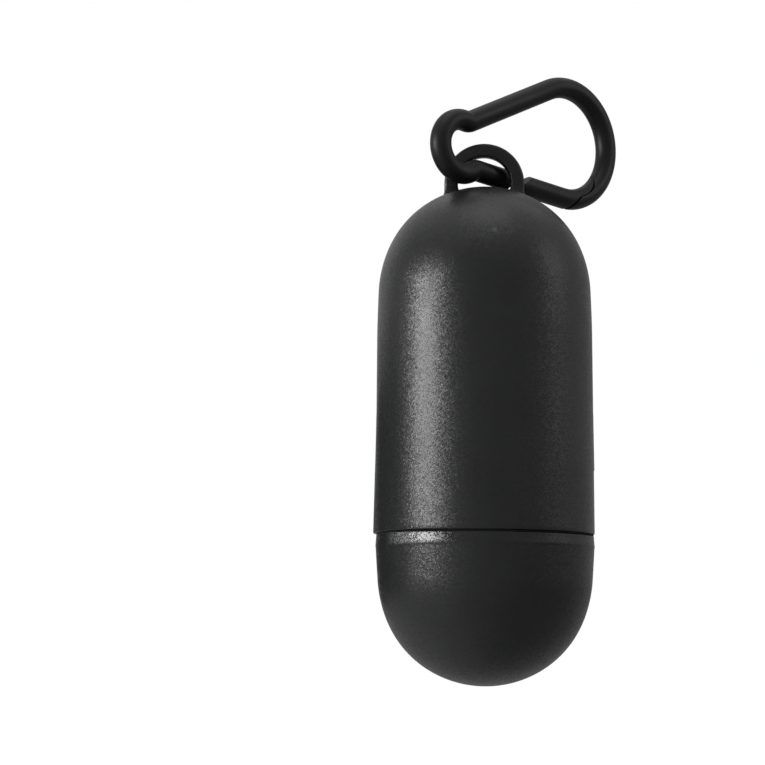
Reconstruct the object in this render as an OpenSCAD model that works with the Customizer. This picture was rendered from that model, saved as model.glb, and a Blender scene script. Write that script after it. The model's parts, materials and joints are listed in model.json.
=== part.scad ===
// Waste bag dispenser: a two-part capsule that holds one roll of bags,
// hanging by a moulded loop from a small sprung snap hook.
// The capsule hangs along Z with its screw cap at the bottom and the bag exit at the back (+Y).
// The origin is the leash seat, the inner face of the snap hook's big end.

/* [Capsule] */
// Length of the closed capsule over both domes
capsule_len = 94.8; // [85:0.1:110]
// Outer radius of both domes
dome_r = 20.4; // [19:0.1:24]
// Outer radius at the seam, where the moulding draft is widest
seam_r = 20.65; // [20.5:0.05:24.5]
// Wall thickness of the capsule
wall = 1.6; // [1.2:0.1:2]
// Height of the cap from its bottom to its rim
cap_h = 28.6; // [26:0.1:34]
// Gap that shows as the seam
seam_gap = 0.4; // [0.2:0.05:0.8]
// Chamfer on the cap's rim and neck
seam_chamfer = 0.35; // [0.1:0.05:0.6]

/* [Cap neck] */
// Height of the neck above the seam
neck_h = 5; // [4:0.1:7]
// Wall of the neck
neck_wall = 1.4; // [1:0.1:1.6]
// Radial clearance between the neck and the body bore
neck_fit = 0.08; // [0.05:0.01:0.1]

/* [Bag exit] */
// Height of the raised hood above the seam
hood_h = 22.4; // [18:0.1:26]
// How far the hood stands out at the back, at the seam
hood_rise = 2.6; // [1.8:0.1:3.2]
// How far the hood stands out at the sides, at the seam
hood_flare = 0.45; // [0.2:0.05:0.7]
// Height of the hood's lip above the seam on the right
lip_right = 11.7; // [9:0.1:14]
// Height of the hood's lip above the seam on the left, where it runs out at the rim
lip_left = -1.2; // [-3:0.1:0]
// Height of the slit under the lip
slit_h = 1.4; // [1:0.1:2.5]
// Distance of the slit's right end from the capsule axis, along X
slit_right = 17.5; // [12:0.1:18]
// Distance of the loading mouth's right edge from the capsule axis, along X
mouth_right = -7; // [-12:0.1:-3]
// Radius of the round hole that ends the slit
slit_end_r = 1.3; // [0.8:0.1:2]

/* [Hanging loop] */
// Inner radius of the loop
loop_in_r = 5.05; // [4.6:0.05:6]
// Width of the loop's band
loop_band = 2.6; // [2:0.1:3.5]
// Depth of the loop's band, front to back
loop_depth = 2.2; // [1.8:0.1:2.6]
// Rounding of the band's edges
loop_edge = 0.5; // [0.2:0.05:0.8]
// Height of the loop's centre above the dome
loop_rise = 1; // [0:0.05:2]

/* [Snap hook] */
// Diameter of the hook's round bar
bar_d = 4.1; // [3.6:0.1:4.3]
// Radius of the small end, to the bar's centreline
small_r = 5.2; // [4.9:0.05:6]
// Radius of the big end, to the bar's centreline
big_r = 11.2; // [10:0.05:13]
// Distance between the two end centres
end_dist = 28.3; // [24:0.1:32]
// Clear gap at the waist, between the bars
waist_gap = 5.3; // [5:0.1:6]
// Radius of the waist bends, to the bar's centreline
waist_r = 2.4; // [2.2:0.1:4]
// Turn of the hook's plane out of the capsule's front plane
hook_turn = 40; // [34:1:42]
// Rise of the hook's long axis out of level
hook_lift = 9.5; // [5:0.1:14]
// Place where the loop rides, along the gate arm from the waist
ride_at = 1.85; // [1:0.05:2.5]
// Gap between the bar and the dome under it
ride_gap = 1; // [0.7:0.05:1.5]

/* [Gate] */
// Place of the gate's pin, along the gate arm from the waist
pin_at = 10; // [9:0.1:11.5]
// Radius of the pin
pin_r = 0.6; // [0.5:0.05:0.8]
// Radial clearance of the pin in the tongue
pin_fit = 0.05; // [0.02:0.01:0.1]
// Thickness of the tongue
tongue_t = 1.4; // [1.2:0.1:1.8]
// Side clearance of the tongue in the fork
tongue_fit = 0.1; // [0.05:0.01:0.15]
// Radius of the tongue's rounded end
tongue_r = 1.3; // [1.2:0.05:1.35]
// Offset of that rounding from the pin, which pushes the plunger as the gate opens
cam_offset = 0.5; // [0.3:0.05:0.6]
// Gap of the lap joint at the nose
nose_gap = 0.2; // [0.1:0.05:0.3]

/* [Gate spring] */
// Radius of the bore for the plunger and the spring
spring_bore_r = 0.9; // [0.8:0.05:1]
// Length of the plunger
plunger_len = 2; // [1.6:0.1:2.4]
// Radial clearance of the plunger in its bore
plunger_fit = 0.05; // [0.02:0.01:0.08]
// Gap between the closed gate's plunger and the tongue
plunger_gap = 0.05; // [0.02:0.01:0.1]
// Length of the spring as fitted
spring_len = 5.4; // [4.8:0.1:6]
// Wire radius of the spring
wire_r = 0.12; // [0.1:0.01:0.14]
// Clearance round the spring, in its bore and at its ends
spring_fit = 0.06; // [0.04:0.01:0.08]
// Number of turns of the spring
spring_turns = 7; // [5:1:7]

/* [Bag roll] */
// Diameter of a full roll
roll_d = 26.3; // [22:0.1:30]
// Length of the roll
roll_len = 60; // [50:0.5:65]
// Outer diameter of the core
core_d = 12; // [10:0.1:14]
// Wall of the core
core_wall = 1; // [0.6:0.1:1.4]
// Radial clearance between the core and the first bag
core_fit = 0.05; // [0.03:0.01:0.2]
// Step where the outer bag's end lies on the roll
tail_step = 0.3; // [0.1:0.05:0.6]
// Clearance between the roll and the cap it stands in
roll_gap = 0.3; // [0.2:0.05:1]
// Rounding of the roll's edges
roll_edge = 0.7; // [0.3:0.1:1.2]

/* [Hidden] */
$fn = 72;
cut = 1;
lip_trim = 0.1;

body_rim_z = cap_h + seam_gap;
dome_z = capsule_len - dome_r;
bore_r = seam_r - wall;
dome_in_r = dome_r - wall;
neck_or = bore_r - neck_fit;
neck_ir = neck_or - neck_wall;
bore_top = body_rim_z + neck_h + 1;

hood_top = body_rim_z + hood_h;
hood_tilt = atan((hood_rise - hood_flare) / hood_h);
draft_at_hood = seam_r + (dome_r - seam_r) * hood_h / (dome_z - body_rim_z);
lip_slope = atan((lip_right - lip_left) / (2 * seam_r));
lip_mid = body_rim_z + (lip_right + lip_left) / 2;

loop_mid_r = loop_in_r + loop_band / 2;
loop_z = capsule_len + loop_rise;
pivot = [0, 0, capsule_len + ride_gap + bar_d / 2];

waist_angle = asin((waist_gap / 2 + bar_d / 2 + waist_r) / (small_r + waist_r));
waist_c = (small_r + waist_r) * [cos(waist_angle), sin(waist_angle)];
waist_to_big = [end_dist, 0] - waist_c;
arm_angle = atan2(waist_to_big[1], waist_to_big[0]) + asin((big_r + waist_r) / norm(waist_to_big));
arm_start = waist_c + waist_r * [sin(arm_angle), -cos(arm_angle)];
arm_end = [end_dist, 0] + big_r * [-sin(arm_angle), cos(arm_angle)];
gate_start = [arm_start[0], -arm_start[1]];
arm_dir = [cos(arm_angle), sin(arm_angle)];
gate_dir = [cos(arm_angle), -sin(arm_angle)];
ride_point = gate_start + ride_at * gate_dir;
pin_point = gate_start + pin_at * gate_dir;
gate_straight = norm(arm_end - arm_start) - pin_at;
seat_point = [end_dist + big_r - bar_d / 2, 0];
leash_seat = hook_to_world(seat_point);

// A thinner bar runs a little way into the next one at each bend, so that the two share volume.
bar_step = 0.02;
bar_lap = 0.15;
thin_bar_d = bar_d - 2 * bar_step;
small_lap = bar_lap / small_r * 180 / PI;
fork_gap = 0.3;
shoulder = bar_d / 2 + fork_gap;
fork_slot = tongue_r + cam_offset + fork_gap;
fork_bore_len = plunger_len + spring_len;
plunger_tip = tongue_r + plunger_gap;
spring_start = plunger_tip + plunger_len;
spring_mid_r = spring_bore_r - wire_r - spring_fit;

// Lap joint at the nose: angle round the big end, and distance from the bar's centreline in bar radii.
nose_line = [[-104, 1.12], [-99, 0.73], [-94, 0.24], [-88, -0.2], [-80, -0.31], [-72, -0.42], [-63, -0.76],
    [-52, -1.12]];
nose_start = nose_line[0][0];
nose_end = nose_line[len(nose_line) - 1][0];
nose_margin = 4;

roll_r = roll_d / 2;
roll_z = dome_r - sqrt(dome_in_r * dome_in_r - roll_r * roll_r) + roll_gap;
core_ir = core_d / 2 - core_wall;

// A point of the hook's own plane, in the capsule's frame.
function hook_to_world(p) =
    let (d = p - ride_point,
        along = d[0] * cos(hook_lift) - d[1] * sin(hook_lift),
        up = d[0] * sin(hook_lift) + d[1] * cos(hook_lift))
    pivot + [along * cos(hook_turn), along * sin(hook_turn), up];

function big_end_point(angle, offset) =
    [end_dist, 0] + (big_r + offset) * [cos(angle), sin(angle)];

function nose_points(shift) =
    [for (p = nose_line) big_end_point(p[0] + shift / big_r * 180 / PI, p[1] * bar_d / 2 + shift)];

module in_row_frame() {
    translate(-leash_seat) children();
}

module in_hook_plane() {
    in_row_frame() translate(pivot) rotate([90, 0, hook_turn]) rotate([0, 0, hook_lift])
        translate([-ride_point[0], -ride_point[1], 0]) children();
}

module at_pin() {
    translate([pin_point[0], pin_point[1], 0]) rotate([0, 0, -arm_angle]) children();
}

// Half profile of a dome on a wall that is straight at first and then drafts in, for a revolve.
module capsule_half(low_r, top_r, low_z, straight_z, centre_z) {
    polygon([
        [0, low_z],
        [low_r, low_z],
        [low_r, straight_z],
        [top_r, centre_z],
        [0, centre_z]
    ]);
    intersection() {
        translate([0, centre_z]) circle(r = top_r);
        translate([0, centre_z]) square(top_r);
    }
}

// The hood is a cone that leans out at the back as it comes down to the seam.
module hood(inset) {
    low = hood_h + 4;
    grow = (seam_r + hood_flare - draft_at_hood) * low / hood_h;
    translate([0, 0, hood_top]) rotate([hood_tilt, 0, 0]) translate([0, 0, -low])
        cylinder(h = low, r1 = draft_at_hood + grow - inset - 0.02, r2 = draft_at_hood - inset - 0.02);
}

// Everything above the sloping line of the hood's lip, moved down by drop.
module above_lip(drop) {
    size = 4 * seam_r;
    translate([0, 0, lip_mid - drop]) rotate([0, -lip_slope, 0])
        translate([-size / 2, -size / 2, 0]) cube([size, size, size]);
}

module below_rim() {
    size = 4 * seam_r;
    translate([-size / 2, -size / 2, body_rim_z - size]) cube([size, size, size]);
}

// A slab that follows the lip, from the slit's round end to past the left side.
module slit() {
    reach = 2 * seam_r;
    end_z = lip_mid + slit_right * tan(lip_slope) - slit_h / 2;
    translate([slit_right, 0, end_z]) rotate([0, -lip_slope, 0])
        translate([-2 * reach, 0, -slit_h / 2]) cube([2 * reach, reach, slit_h + lip_trim]);
    translate([slit_right, 0, end_z]) rotate([-90, 0, 0]) cylinder(h = reach, r = slit_end_r);
}

// The stretch left of the mouth's edge, open from the lip down to the rim.
module loading_mouth() {
    reach = 2 * seam_r;
    difference() {
        translate([mouth_right - reach, 0, body_rim_z - cut]) cube([reach, reach, reach]);
        above_lip(-lip_trim / 2);
    }
}

// Cross-section of the loop's band, with rounded edges.
module band_section() {
    w = loop_band - 2 * loop_edge;
    d = loop_depth - 2 * loop_edge;
    square([w, loop_depth], center = true);
    square([loop_band, d], center = true);
    for (x = [-w / 2, w / 2], y = [-d / 2, d / 2])
        translate([x, y]) circle(r = loop_edge, $fn = 48);
}

module hanging_loop() {
    translate([0, 0, loop_z]) {
        rotate([90, 0, 0]) rotate_extrude(angle = 180)
            translate([loop_mid_r, 0]) band_section();
        for (x = [-loop_mid_r, loop_mid_r])
            translate([x, 0, -dome_r / 2]) linear_extrude(dome_r / 2) band_section();
    }
}

module main_shell() {
    color([0.16, 0.165, 0.165]) in_row_frame() difference() {
        union() {
            rotate_extrude() capsule_half(seam_r, dome_r, body_rim_z - cut, body_rim_z, dome_z);
            intersection() {
                hood(0);
                above_lip(0);
            }
            hanging_loop();
        }
        rotate_extrude() capsule_half(bore_r, dome_in_r, body_rim_z - 2 * cut, bore_top, dome_z);
        intersection() {
            hood(wall);
            above_lip(slit_h / 2);
        }
        slit();
        loading_mouth();
        below_rim();
    }
}

module end_cap() {
    joggle_z = cap_h - 2 * wall;
    color([0.15, 0.155, 0.155]) in_row_frame() rotate_extrude() difference() {
        union() {
            intersection() {
                translate([0, dome_r]) circle(r = dome_r);
                square(dome_r);
            }
            polygon([
                [0, dome_r],
                [dome_r, dome_r],
                [seam_r, cap_h - seam_chamfer],
                [seam_r - seam_chamfer, cap_h],
                [neck_or, cap_h],
                [neck_or, body_rim_z + neck_h - seam_chamfer],
                [neck_or - seam_chamfer, body_rim_z + neck_h],
                [0, body_rim_z + neck_h]
            ]);
        }
        intersection() {
            translate([0, dome_r]) circle(r = dome_in_r);
            square(dome_r);
        }
        polygon([
            [0, dome_r],
            [dome_in_r, dome_r],
            [dome_in_r, joggle_z - (dome_in_r - neck_ir)],
            [neck_ir, joggle_z],
            [neck_ir, body_rim_z + neck_h + cut],
            [0, body_rim_z + neck_h + cut]
        ]);
    }
}

module bar_arc(centre, r, from, to, d = bar_d) {
    translate([centre[0], centre[1], 0]) rotate([0, 0, from])
        rotate_extrude(angle = to - from) translate([r, 0]) circle(d = d, $fn = 48);
}

// A straight bar that starts a lap before its first point, in the bend that it grows out of.
module bar_line(from, to) {
    d = to - from;
    translate([from[0], from[1], 0]) rotate([0, 0, atan2(d[1], d[0])]) rotate([0, 90, 0])
        translate([0, 0, -bar_lap]) cylinder(h = norm(d) + bar_lap, d = thin_bar_d, $fn = 48);
}

// The side of the lap joint that belongs to the gate, back to well inside its straight.
module gate_side(shift) {
    back = -90 - 4 * arm_angle;
    reach = 1.5 * bar_d;
    linear_extrude(2 * bar_d, center = true) polygon(concat(
        nose_points(shift),
        [big_end_point(nose_end, -reach), big_end_point(back, -reach)],
        [big_end_point(back, reach), big_end_point(nose_start, reach)]
    ));
}

module tongue() {
    at_pin() difference() {
        linear_extrude(tongue_t, center = true) {
            translate([0, cam_offset]) circle(r = tongue_r, $fn = 48);
            translate([-shoulder - cut, cam_offset - tongue_r]) square([shoulder + cut, 2 * tongue_r]);
        }
        cylinder(h = bar_d, r = pin_r + pin_fit, center = true, $fn = 48);
    }
}

module carabiner_frame() {
    waist_low = [waist_c[0], -waist_c[1]];
    color([0.1, 0.1, 0.105]) in_hook_plane() {
        difference() {
            bar_arc([end_dist, 0], big_r, nose_start - nose_margin, 90 + arm_angle);
            gate_side(nose_gap);
        }
        bar_line(arm_start, arm_end + bar_lap * arm_dir);
        bar_arc(waist_c, waist_r, waist_angle - 180, arm_angle - 90);
        bar_arc([0, 0], small_r, waist_angle - small_lap, 360 - waist_angle + small_lap, thin_bar_d);
        bar_arc(waist_low, waist_r, 90 - arm_angle, 180 - waist_angle);
        bar_line(gate_start, pin_point - shoulder * gate_dir);
        tongue();
    }
}

module carabiner_gate() {
    color([0.12, 0.12, 0.125]) in_hook_plane() difference() {
        union() {
            at_pin() intersection() {
                translate([-bar_d, 0, 0]) rotate([0, 90, 0])
                    cylinder(h = bar_d + gate_straight + bar_lap, d = thin_bar_d, $fn = 48);
                linear_extrude(2 * bar_d, center = true) {
                    circle(d = bar_d, $fn = 48);
                    translate([0, -bar_d]) square([2 * gate_straight, 2 * bar_d]);
                }
            }
            intersection() {
                bar_arc([end_dist, 0], big_r, -90 - arm_angle, nose_end + nose_margin);
                gate_side(0);
            }
        }
        at_pin() {
            translate([-bar_d, -bar_d, -tongue_t / 2 - tongue_fit])
                cube([bar_d + fork_slot, 2 * bar_d, tongue_t + 2 * tongue_fit]);
            cylinder(h = 2 * bar_d, r = pin_r, center = true, $fn = 48);
            translate([plunger_tip, 0, 0]) rotate([0, 90, 0])
                cylinder(h = fork_bore_len, r = spring_bore_r, $fn = 48);
        }
    }
}

module gate_pin() {
    head = 0.1;
    len = bar_d - 0.5;
    color([0.55, 0.55, 0.56]) in_hook_plane() at_pin() rotate_extrude() polygon([
        [0, -len / 2],
        [pin_r - head, -len / 2],
        [pin_r, -len / 2 + head],
        [pin_r, len / 2 - head],
        [pin_r - head, len / 2],
        [0, len / 2]
    ]);
}

module gate_plunger() {
    r = spring_bore_r - plunger_fit;
    tip = r / 2;
    color([0.6, 0.6, 0.6]) in_hook_plane() at_pin() translate([plunger_tip, 0, 0]) rotate([0, 90, 0])
        rotate_extrude($fn = 48) polygon([
            [0, 0],
            [r - tip, 0],
            [r, tip],
            [r, plunger_len],
            [0, plunger_len]
        ]);
}

// One unbroken round wire: rings of points along a helix, joined by triangles.
function coil_centre(t, turns, pitch, r) =
    [r * cos(360 * turns * t), r * sin(360 * turns * t), pitch * turns * t];

function coil_ring(t, turns, pitch, r, w, sides) =
    let (a = 360 * turns * t,
        lean = atan(pitch / (2 * PI * r)),
        out = [cos(a), sin(a), 0],
        side = [-sin(a) * -sin(lean), cos(a) * -sin(lean), cos(lean)])
    [for (k = [0:sides - 1])
        let (b = 360 * k / sides)
        coil_centre(t, turns, pitch, r) + w * (cos(b) * out + sin(b) * side)];

// Least clear gap of a wire to itself, between points that are at least a number of steps apart.
function least_gap(path, apart, w) =
    min([for (i = [0:len(path) - 1]) for (j = [i + apart:1:len(path) - 1]) norm(path[i] - path[j])]) - 2 * w;

module coil(turns, pitch, r, w, sides, steps) {
    rings = turns * steps;
    echo("least gap", least_gap([for (i = [0:rings]) coil_centre(i / rings, turns, pitch, r)], steps / 2, w));
    points = [for (i = [0:rings]) each coil_ring(i / rings, turns, pitch, r, w, sides)];
    ends = [[for (k = [0:sides - 1]) k], [for (k = [sides - 1:-1:0]) rings * sides + k]];
    walls = [for (i = [0:rings - 1], k = [0:sides - 1])
        let (a = i * sides + k, b = i * sides + (k + 1) % sides)
        each [[a, a + sides, b + sides], [a, b + sides, b]]];
    polyhedron(points, concat(ends, walls));
}

module gate_spring() {
    pitch = (spring_len - 2 * wire_r - 2 * spring_fit) / spring_turns;
    color([0.7, 0.7, 0.72]) in_hook_plane() at_pin() translate([spring_start + wire_r + spring_fit, 0, 0])
        rotate([0, 90, 0]) coil(spring_turns, pitch, spring_mid_r, wire_r, 8, 12);
}

module roll_core() {
    color([0.62, 0.52, 0.4]) in_row_frame() translate([0, 0, roll_z]) difference() {
        cylinder(h = roll_len, d = core_d);
        translate([0, 0, -cut]) cylinder(h = roll_len + 2 * cut, r = core_ir);
    }
}

// The outer bag's end makes one small step, so the outline is two half discs that meet on one side.
module bag_roll() {
    side = 2 * roll_d;
    color([0.62, 0.63, 0.63]) in_row_frame() translate([0, 0, roll_z]) intersection() {
        linear_extrude(roll_len) difference() {
            union() {
                intersection() {
                    circle(r = roll_r);
                    translate([-side / 2, 0]) square(side);
                }
                intersection() {
                    translate([-tail_step / 2, 0]) circle(r = roll_r - tail_step / 2);
                    translate([-side / 2, -side]) square(side);
                }
            }
            circle(d = core_d + 2 * core_fit);
        }
        rotate_extrude() polygon([
            [0, 0],
            [roll_r - roll_edge, 0],
            [roll_r, roll_edge],
            [roll_r, roll_len - roll_edge],
            [roll_r - roll_edge, roll_len],
            [0, roll_len]
        ]);
    }
}

main_shell();
end_cap();
carabiner_frame();
carabiner_gate();
gate_pin();
gate_plunger();
gate_spring();
roll_core();
bag_roll();
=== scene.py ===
# %% [markdown]
# # A waste bag dispenser that hangs from a snap hook
# The dispenser is a capsule of grained black plastic. Its lower dome unscrews, a roll of bags stands
# inside, and the bags are drawn out under a raised hood at the back. A moulded loop hangs on a small snap
# hook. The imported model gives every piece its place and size. This file builds the shapes that are seen,
# with their rounded edges, threads, grain and wear, round that fixed frame.

# %% Load the fixed frame
import json
import math

import bmesh
import bpy
import numpy as np
from mathutils import Matrix, Vector, geometry


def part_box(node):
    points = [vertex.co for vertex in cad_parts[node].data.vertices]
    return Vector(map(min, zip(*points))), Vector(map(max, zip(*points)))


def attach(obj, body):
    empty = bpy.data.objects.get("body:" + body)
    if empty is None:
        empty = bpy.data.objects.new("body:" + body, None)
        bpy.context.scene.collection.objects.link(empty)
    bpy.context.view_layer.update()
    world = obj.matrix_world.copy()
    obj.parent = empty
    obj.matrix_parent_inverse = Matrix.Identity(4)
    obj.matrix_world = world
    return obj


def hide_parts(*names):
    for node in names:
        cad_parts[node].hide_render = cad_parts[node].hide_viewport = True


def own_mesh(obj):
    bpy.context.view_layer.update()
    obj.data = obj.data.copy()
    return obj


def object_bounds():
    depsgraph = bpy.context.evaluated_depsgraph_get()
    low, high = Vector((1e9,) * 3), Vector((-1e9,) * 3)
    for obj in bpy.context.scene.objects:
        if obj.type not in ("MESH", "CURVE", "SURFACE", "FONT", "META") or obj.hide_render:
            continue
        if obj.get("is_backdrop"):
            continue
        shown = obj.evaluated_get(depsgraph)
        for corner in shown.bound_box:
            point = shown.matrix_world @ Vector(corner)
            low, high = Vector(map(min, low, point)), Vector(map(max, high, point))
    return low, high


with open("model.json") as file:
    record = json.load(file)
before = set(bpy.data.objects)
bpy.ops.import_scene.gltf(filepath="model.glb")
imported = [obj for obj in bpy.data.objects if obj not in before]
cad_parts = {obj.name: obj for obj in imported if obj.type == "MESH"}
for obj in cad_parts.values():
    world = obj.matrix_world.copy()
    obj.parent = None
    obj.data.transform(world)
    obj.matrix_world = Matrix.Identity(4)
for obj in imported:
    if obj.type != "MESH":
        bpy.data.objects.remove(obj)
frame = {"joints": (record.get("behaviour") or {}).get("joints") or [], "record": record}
cad_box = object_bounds()
MM, TURN = 0.001, math.tau

# %% [markdown]
# ## The camera
# The capsule fills most of the picture's height, so a long lens from half a metre away keeps its sides
# nearly parallel. The seam curves upwards in the middle, which says that the camera looks up a little, by
# about 7 degrees.

# %% Make the camera
CAMERA_PLACE = Vector((-43.15, -466.53, -105.98)) * MM
LOOK_UP, LEAN = math.radians(7), math.radians(0.2)
LENS = 111.4

camera = bpy.data.objects.new("camera", bpy.data.cameras.new("camera"))
camera.data.lens = LENS
camera.location = CAMERA_PLACE
turned_up = Matrix.Rotation(math.pi / 2 + LOOK_UP, 3, "X") @ Matrix.Rotation(LEAN, 3, "Z")
camera.rotation_euler = turned_up.to_euler()
bpy.context.scene.collection.objects.link(camera)
bpy.context.scene.camera = camera
print("camera looks up", round(math.degrees(LOOK_UP)), "degrees through a", LENS, "mm lens")

# %% [markdown]
# ## Places that the pieces share
# Every part of the capsule is turned on one upright axis, and every part of the hook lies in one leaning
# plane. The cap's box gives the axis and the height of the capsule's bottom. The leash seat and the gate's
# hinge give the hook's plane, so both can be drawn with plain numbers in millimetres and set in place by
# one matrix each.

# %% Find the capsule's axis and the hook's plane
cap_low, cap_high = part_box("end_cap")
capsule_place = Matrix.Translation(
    ((cap_low.x + cap_high.x) / 2, (cap_low.y + cap_high.y) / 2, cap_low.z)
) @ Matrix.Scale(MM, 4)

joints = {j["name"]: j for j in frame["joints"]}
# The hook in millimetres: its bar's radius, the radii of its two ends, their distance, and the bend
# and the opening of its waist.
BAR_R, SMALL_R, BIG_R, END_DIST, WAIST_R, WAIST_GAP = 2.05, 5.2, 11.2, 28.3, 2.4, 5.3
hook_x = Vector(frame["record"]["mounts"][0]["axis"]).normalized()
hook_z = Vector(joints["gate_pivot"]["axis"]).normalized()
hook_y = hook_z.cross(hook_x)
hook_place = (
    Matrix((hook_x, hook_y, hook_z)).transposed().to_4x4()
    @ Matrix.Scale(MM, 4)
    @ Matrix.Translation((-(END_DIST + BIG_R - BAR_R), 0, 0))
)
print("capsule axis at", [round(v / MM, 2) for v in capsule_place.translation])
print("hook's plane faces", [round(v, 3) for v in hook_z])


# %% [markdown]
# ## Small helpers
# A finished piece is a plain mesh at the origin with its place in its vertices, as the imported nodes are.
# One helper makes such an object from points and faces, one turns its faces outwards, and one cuts it with
# another.

# %% Helpers for meshes
def piece_from(name, points, faces, place=None, smooth=True):
    """A plain mesh object at the origin, with its place in its points."""
    mesh = bpy.data.meshes.new(name)
    mesh.from_pydata([tuple(p) for p in points], [], [tuple(f) for f in faces])
    if place is not None:
        mesh.transform(place)
    mesh.polygons.foreach_set("use_smooth", [smooth] * len(mesh.polygons))
    mesh.update()
    made = bpy.data.objects.new(name, mesh)
    bpy.context.scene.collection.objects.link(made)
    return made


def outwards(piece, weld=0.0):
    """Turns all faces outwards, after points closer than weld are merged."""
    work = bmesh.new()
    work.from_mesh(piece.data)
    if weld:
        bmesh.ops.remove_doubles(work, verts=work.verts, dist=weld)
    bmesh.ops.recalc_face_normals(work, faces=work.faces)
    open_edges = sum(1 for e in work.edges if len(e.link_faces) != 2)
    work.to_mesh(piece.data)
    work.free()
    print(piece.name, len(piece.data.polygons), "faces,", open_edges, "open edges")
    return piece


def baked(piece, name):
    """The piece with its modifiers applied, as a new plain mesh of that name. The old one goes."""
    piece.name = name + "_before"
    bpy.context.view_layer.update()
    shape = piece.evaluated_get(bpy.context.evaluated_depsgraph_get())
    mesh = bpy.data.meshes.new_from_object(shape)
    made = bpy.data.objects.new(name, mesh)
    made.data.materials.clear()
    bpy.context.scene.collection.objects.link(made)
    bpy.data.objects.remove(piece, do_unlink=True)
    return made


def carve(piece, cutter, operation="DIFFERENCE"):
    """One exact cut, union or overlap of two closed meshes. The cutter goes."""
    change = piece.modifiers.new("carve", "BOOLEAN")
    change.operation = operation
    change.solver = "EXACT"
    change.object = cutter
    made = baked(piece, piece.name)
    bpy.data.objects.remove(cutter, do_unlink=True)
    return made


def lathe(name, profile, place, columns, shape=None, closed=False):
    """Turns (radius, height) rows round the axis. A row with no radius is a pole. shape takes a row's
    angles, radii and heights, and gives new radii and heights."""
    angles = np.arange(columns) * TURN / columns
    points, rows = [], []
    for r, z in profile:
        if r < 1e-9:
            rows.append([len(points)])
            points.append((0, 0, z))
            continue
        radii, heights = np.full(columns, float(r)), np.full(columns, float(z))
        if shape:
            radii, heights = shape(angles, radii, heights)
        rows.append(list(range(len(points), len(points) + columns)))
        points += list(zip(radii * np.cos(angles), radii * np.sin(angles), heights))
    faces = []
    pairs = list(zip(rows, rows[1:])) + ([(rows[-1], rows[0])] if closed else [])
    for low, high in pairs:
        for i in range(columns):
            j = (i + 1) % columns
            ring = [low[i % len(low)], low[j % len(low)], high[j % len(high)], high[i % len(high)]]
            faces.append(list(dict.fromkeys(ring)))
    return outwards(piece_from(name, points, faces, place))


def arc(centre, radius, start, end, steps):
    """Points on an arc, angles in degrees, both ends included."""
    turn = np.radians(np.linspace(start, end, steps + 1))
    return [(centre[0] + radius * math.cos(a), centre[1] + radius * math.sin(a)) for a in turn]


def prism(name, outline, low, high):
    """A flat outline pulled along Z."""
    n = len(outline)
    points = [(x, y, low) for x, y in outline] + [(x, y, high) for x, y in outline]
    faces = [list(range(n))[::-1], list(range(n, 2 * n))]
    faces += [[i, (i + 1) % n, n + (i + 1) % n, n + i] for i in range(n)]
    return outwards(piece_from(name, points, faces))


def finish_piece(piece, body, material, slot, *nodes):
    """Gives a piece its material and its body, and hides the nodes that it stands for. The slot is not used.
    """
    piece.data.materials.clear()
    piece.data.materials.append(material)
    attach(piece, body)
    if nodes:
        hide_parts(*nodes)


# %% [markdown]
# Shader and geometry nodes are made by short calls too, so that a material or a rule reads as a list of
# steps.

# %% Helpers for nodes
# The values of a noise lie mostly between these two.
NOISE_SPAN = 0.3, 0.7


def new_material(name):
    material = bpy.data.materials.new(name)
    material.use_nodes = True
    tree = material.node_tree
    return material, tree, tree.nodes["Principled BSDF"]


def feed(tree, node, **inputs):
    """Gives a node's inputs, by name or as i0, i1. A plain value stays on the socket, and another
    node's output is linked to it."""
    for key, value in inputs.items():
        by_number = key[0] == "i" and key[1:].isdigit()
        socket = node.inputs[int(key[1:]) if by_number else key.replace("_", " ")]
        if isinstance(value, bpy.types.NodeSocket):
            tree.links.new(value, socket)
        else:
            socket.default_value = value
    return node


def add(tree, kind, _set=None, **inputs):
    """One node: _set gives its properties, and the rest its inputs."""
    made = tree.nodes.new(kind)
    for key, value in (_set or {}).items():
        setattr(made, key, value)
    return feed(tree, made, **inputs)


def rgba(colour):
    """A grey or a colour, as a socket takes it."""
    return (colour, colour, colour, 1) if isinstance(colour, (int, float)) else (*colour, 1)


def ramp(tree, factor, stops):
    """A colour ramp through (place, grey) stops."""
    made = add(tree, "ShaderNodeValToRGB", Fac=factor)
    while len(made.color_ramp.elements) < len(stops):
        made.color_ramp.elements.new(0.5)
    for element, (place, grey) in zip(made.color_ramp.elements, stops):
        element.position = place
        element.color = rgba(grey)
    return made.outputs["Color"]


def maths(tree, what, a, b=0.0):
    return add(tree, "ShaderNodeMath", {"operation": what}, i0=a, i1=b).outputs[0]


def product(tree, first, *others):
    for other in others:
        first = maths(tree, "MULTIPLY", first, other)
    return first


def vectors(tree, what, **inputs):
    made = add(tree, "ShaderNodeVectorMath", {"operation": what}, **inputs)
    return made.outputs["Value" if what == "LENGTH" else "Vector"]


def between(tree, value, low, high, out_low=0.0, out_high=1.0):
    """A smooth step from out_low to out_high as value goes from low to high."""
    return add(tree, "ShaderNodeMapRange", {"interpolation_type": "SMOOTHSTEP"}, Value=value,
               From_Min=low, From_Max=high, To_Min=out_low, To_Max=out_high).outputs["Result"]


def mix(tree, factor, a, b):
    a, b = (c if isinstance(c, bpy.types.NodeSocket) else rgba(c) for c in (a, b))
    return add(tree, "ShaderNodeMix", {"data_type": "RGBA"}, i0=factor, i6=a, i7=b).outputs[2]


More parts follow.
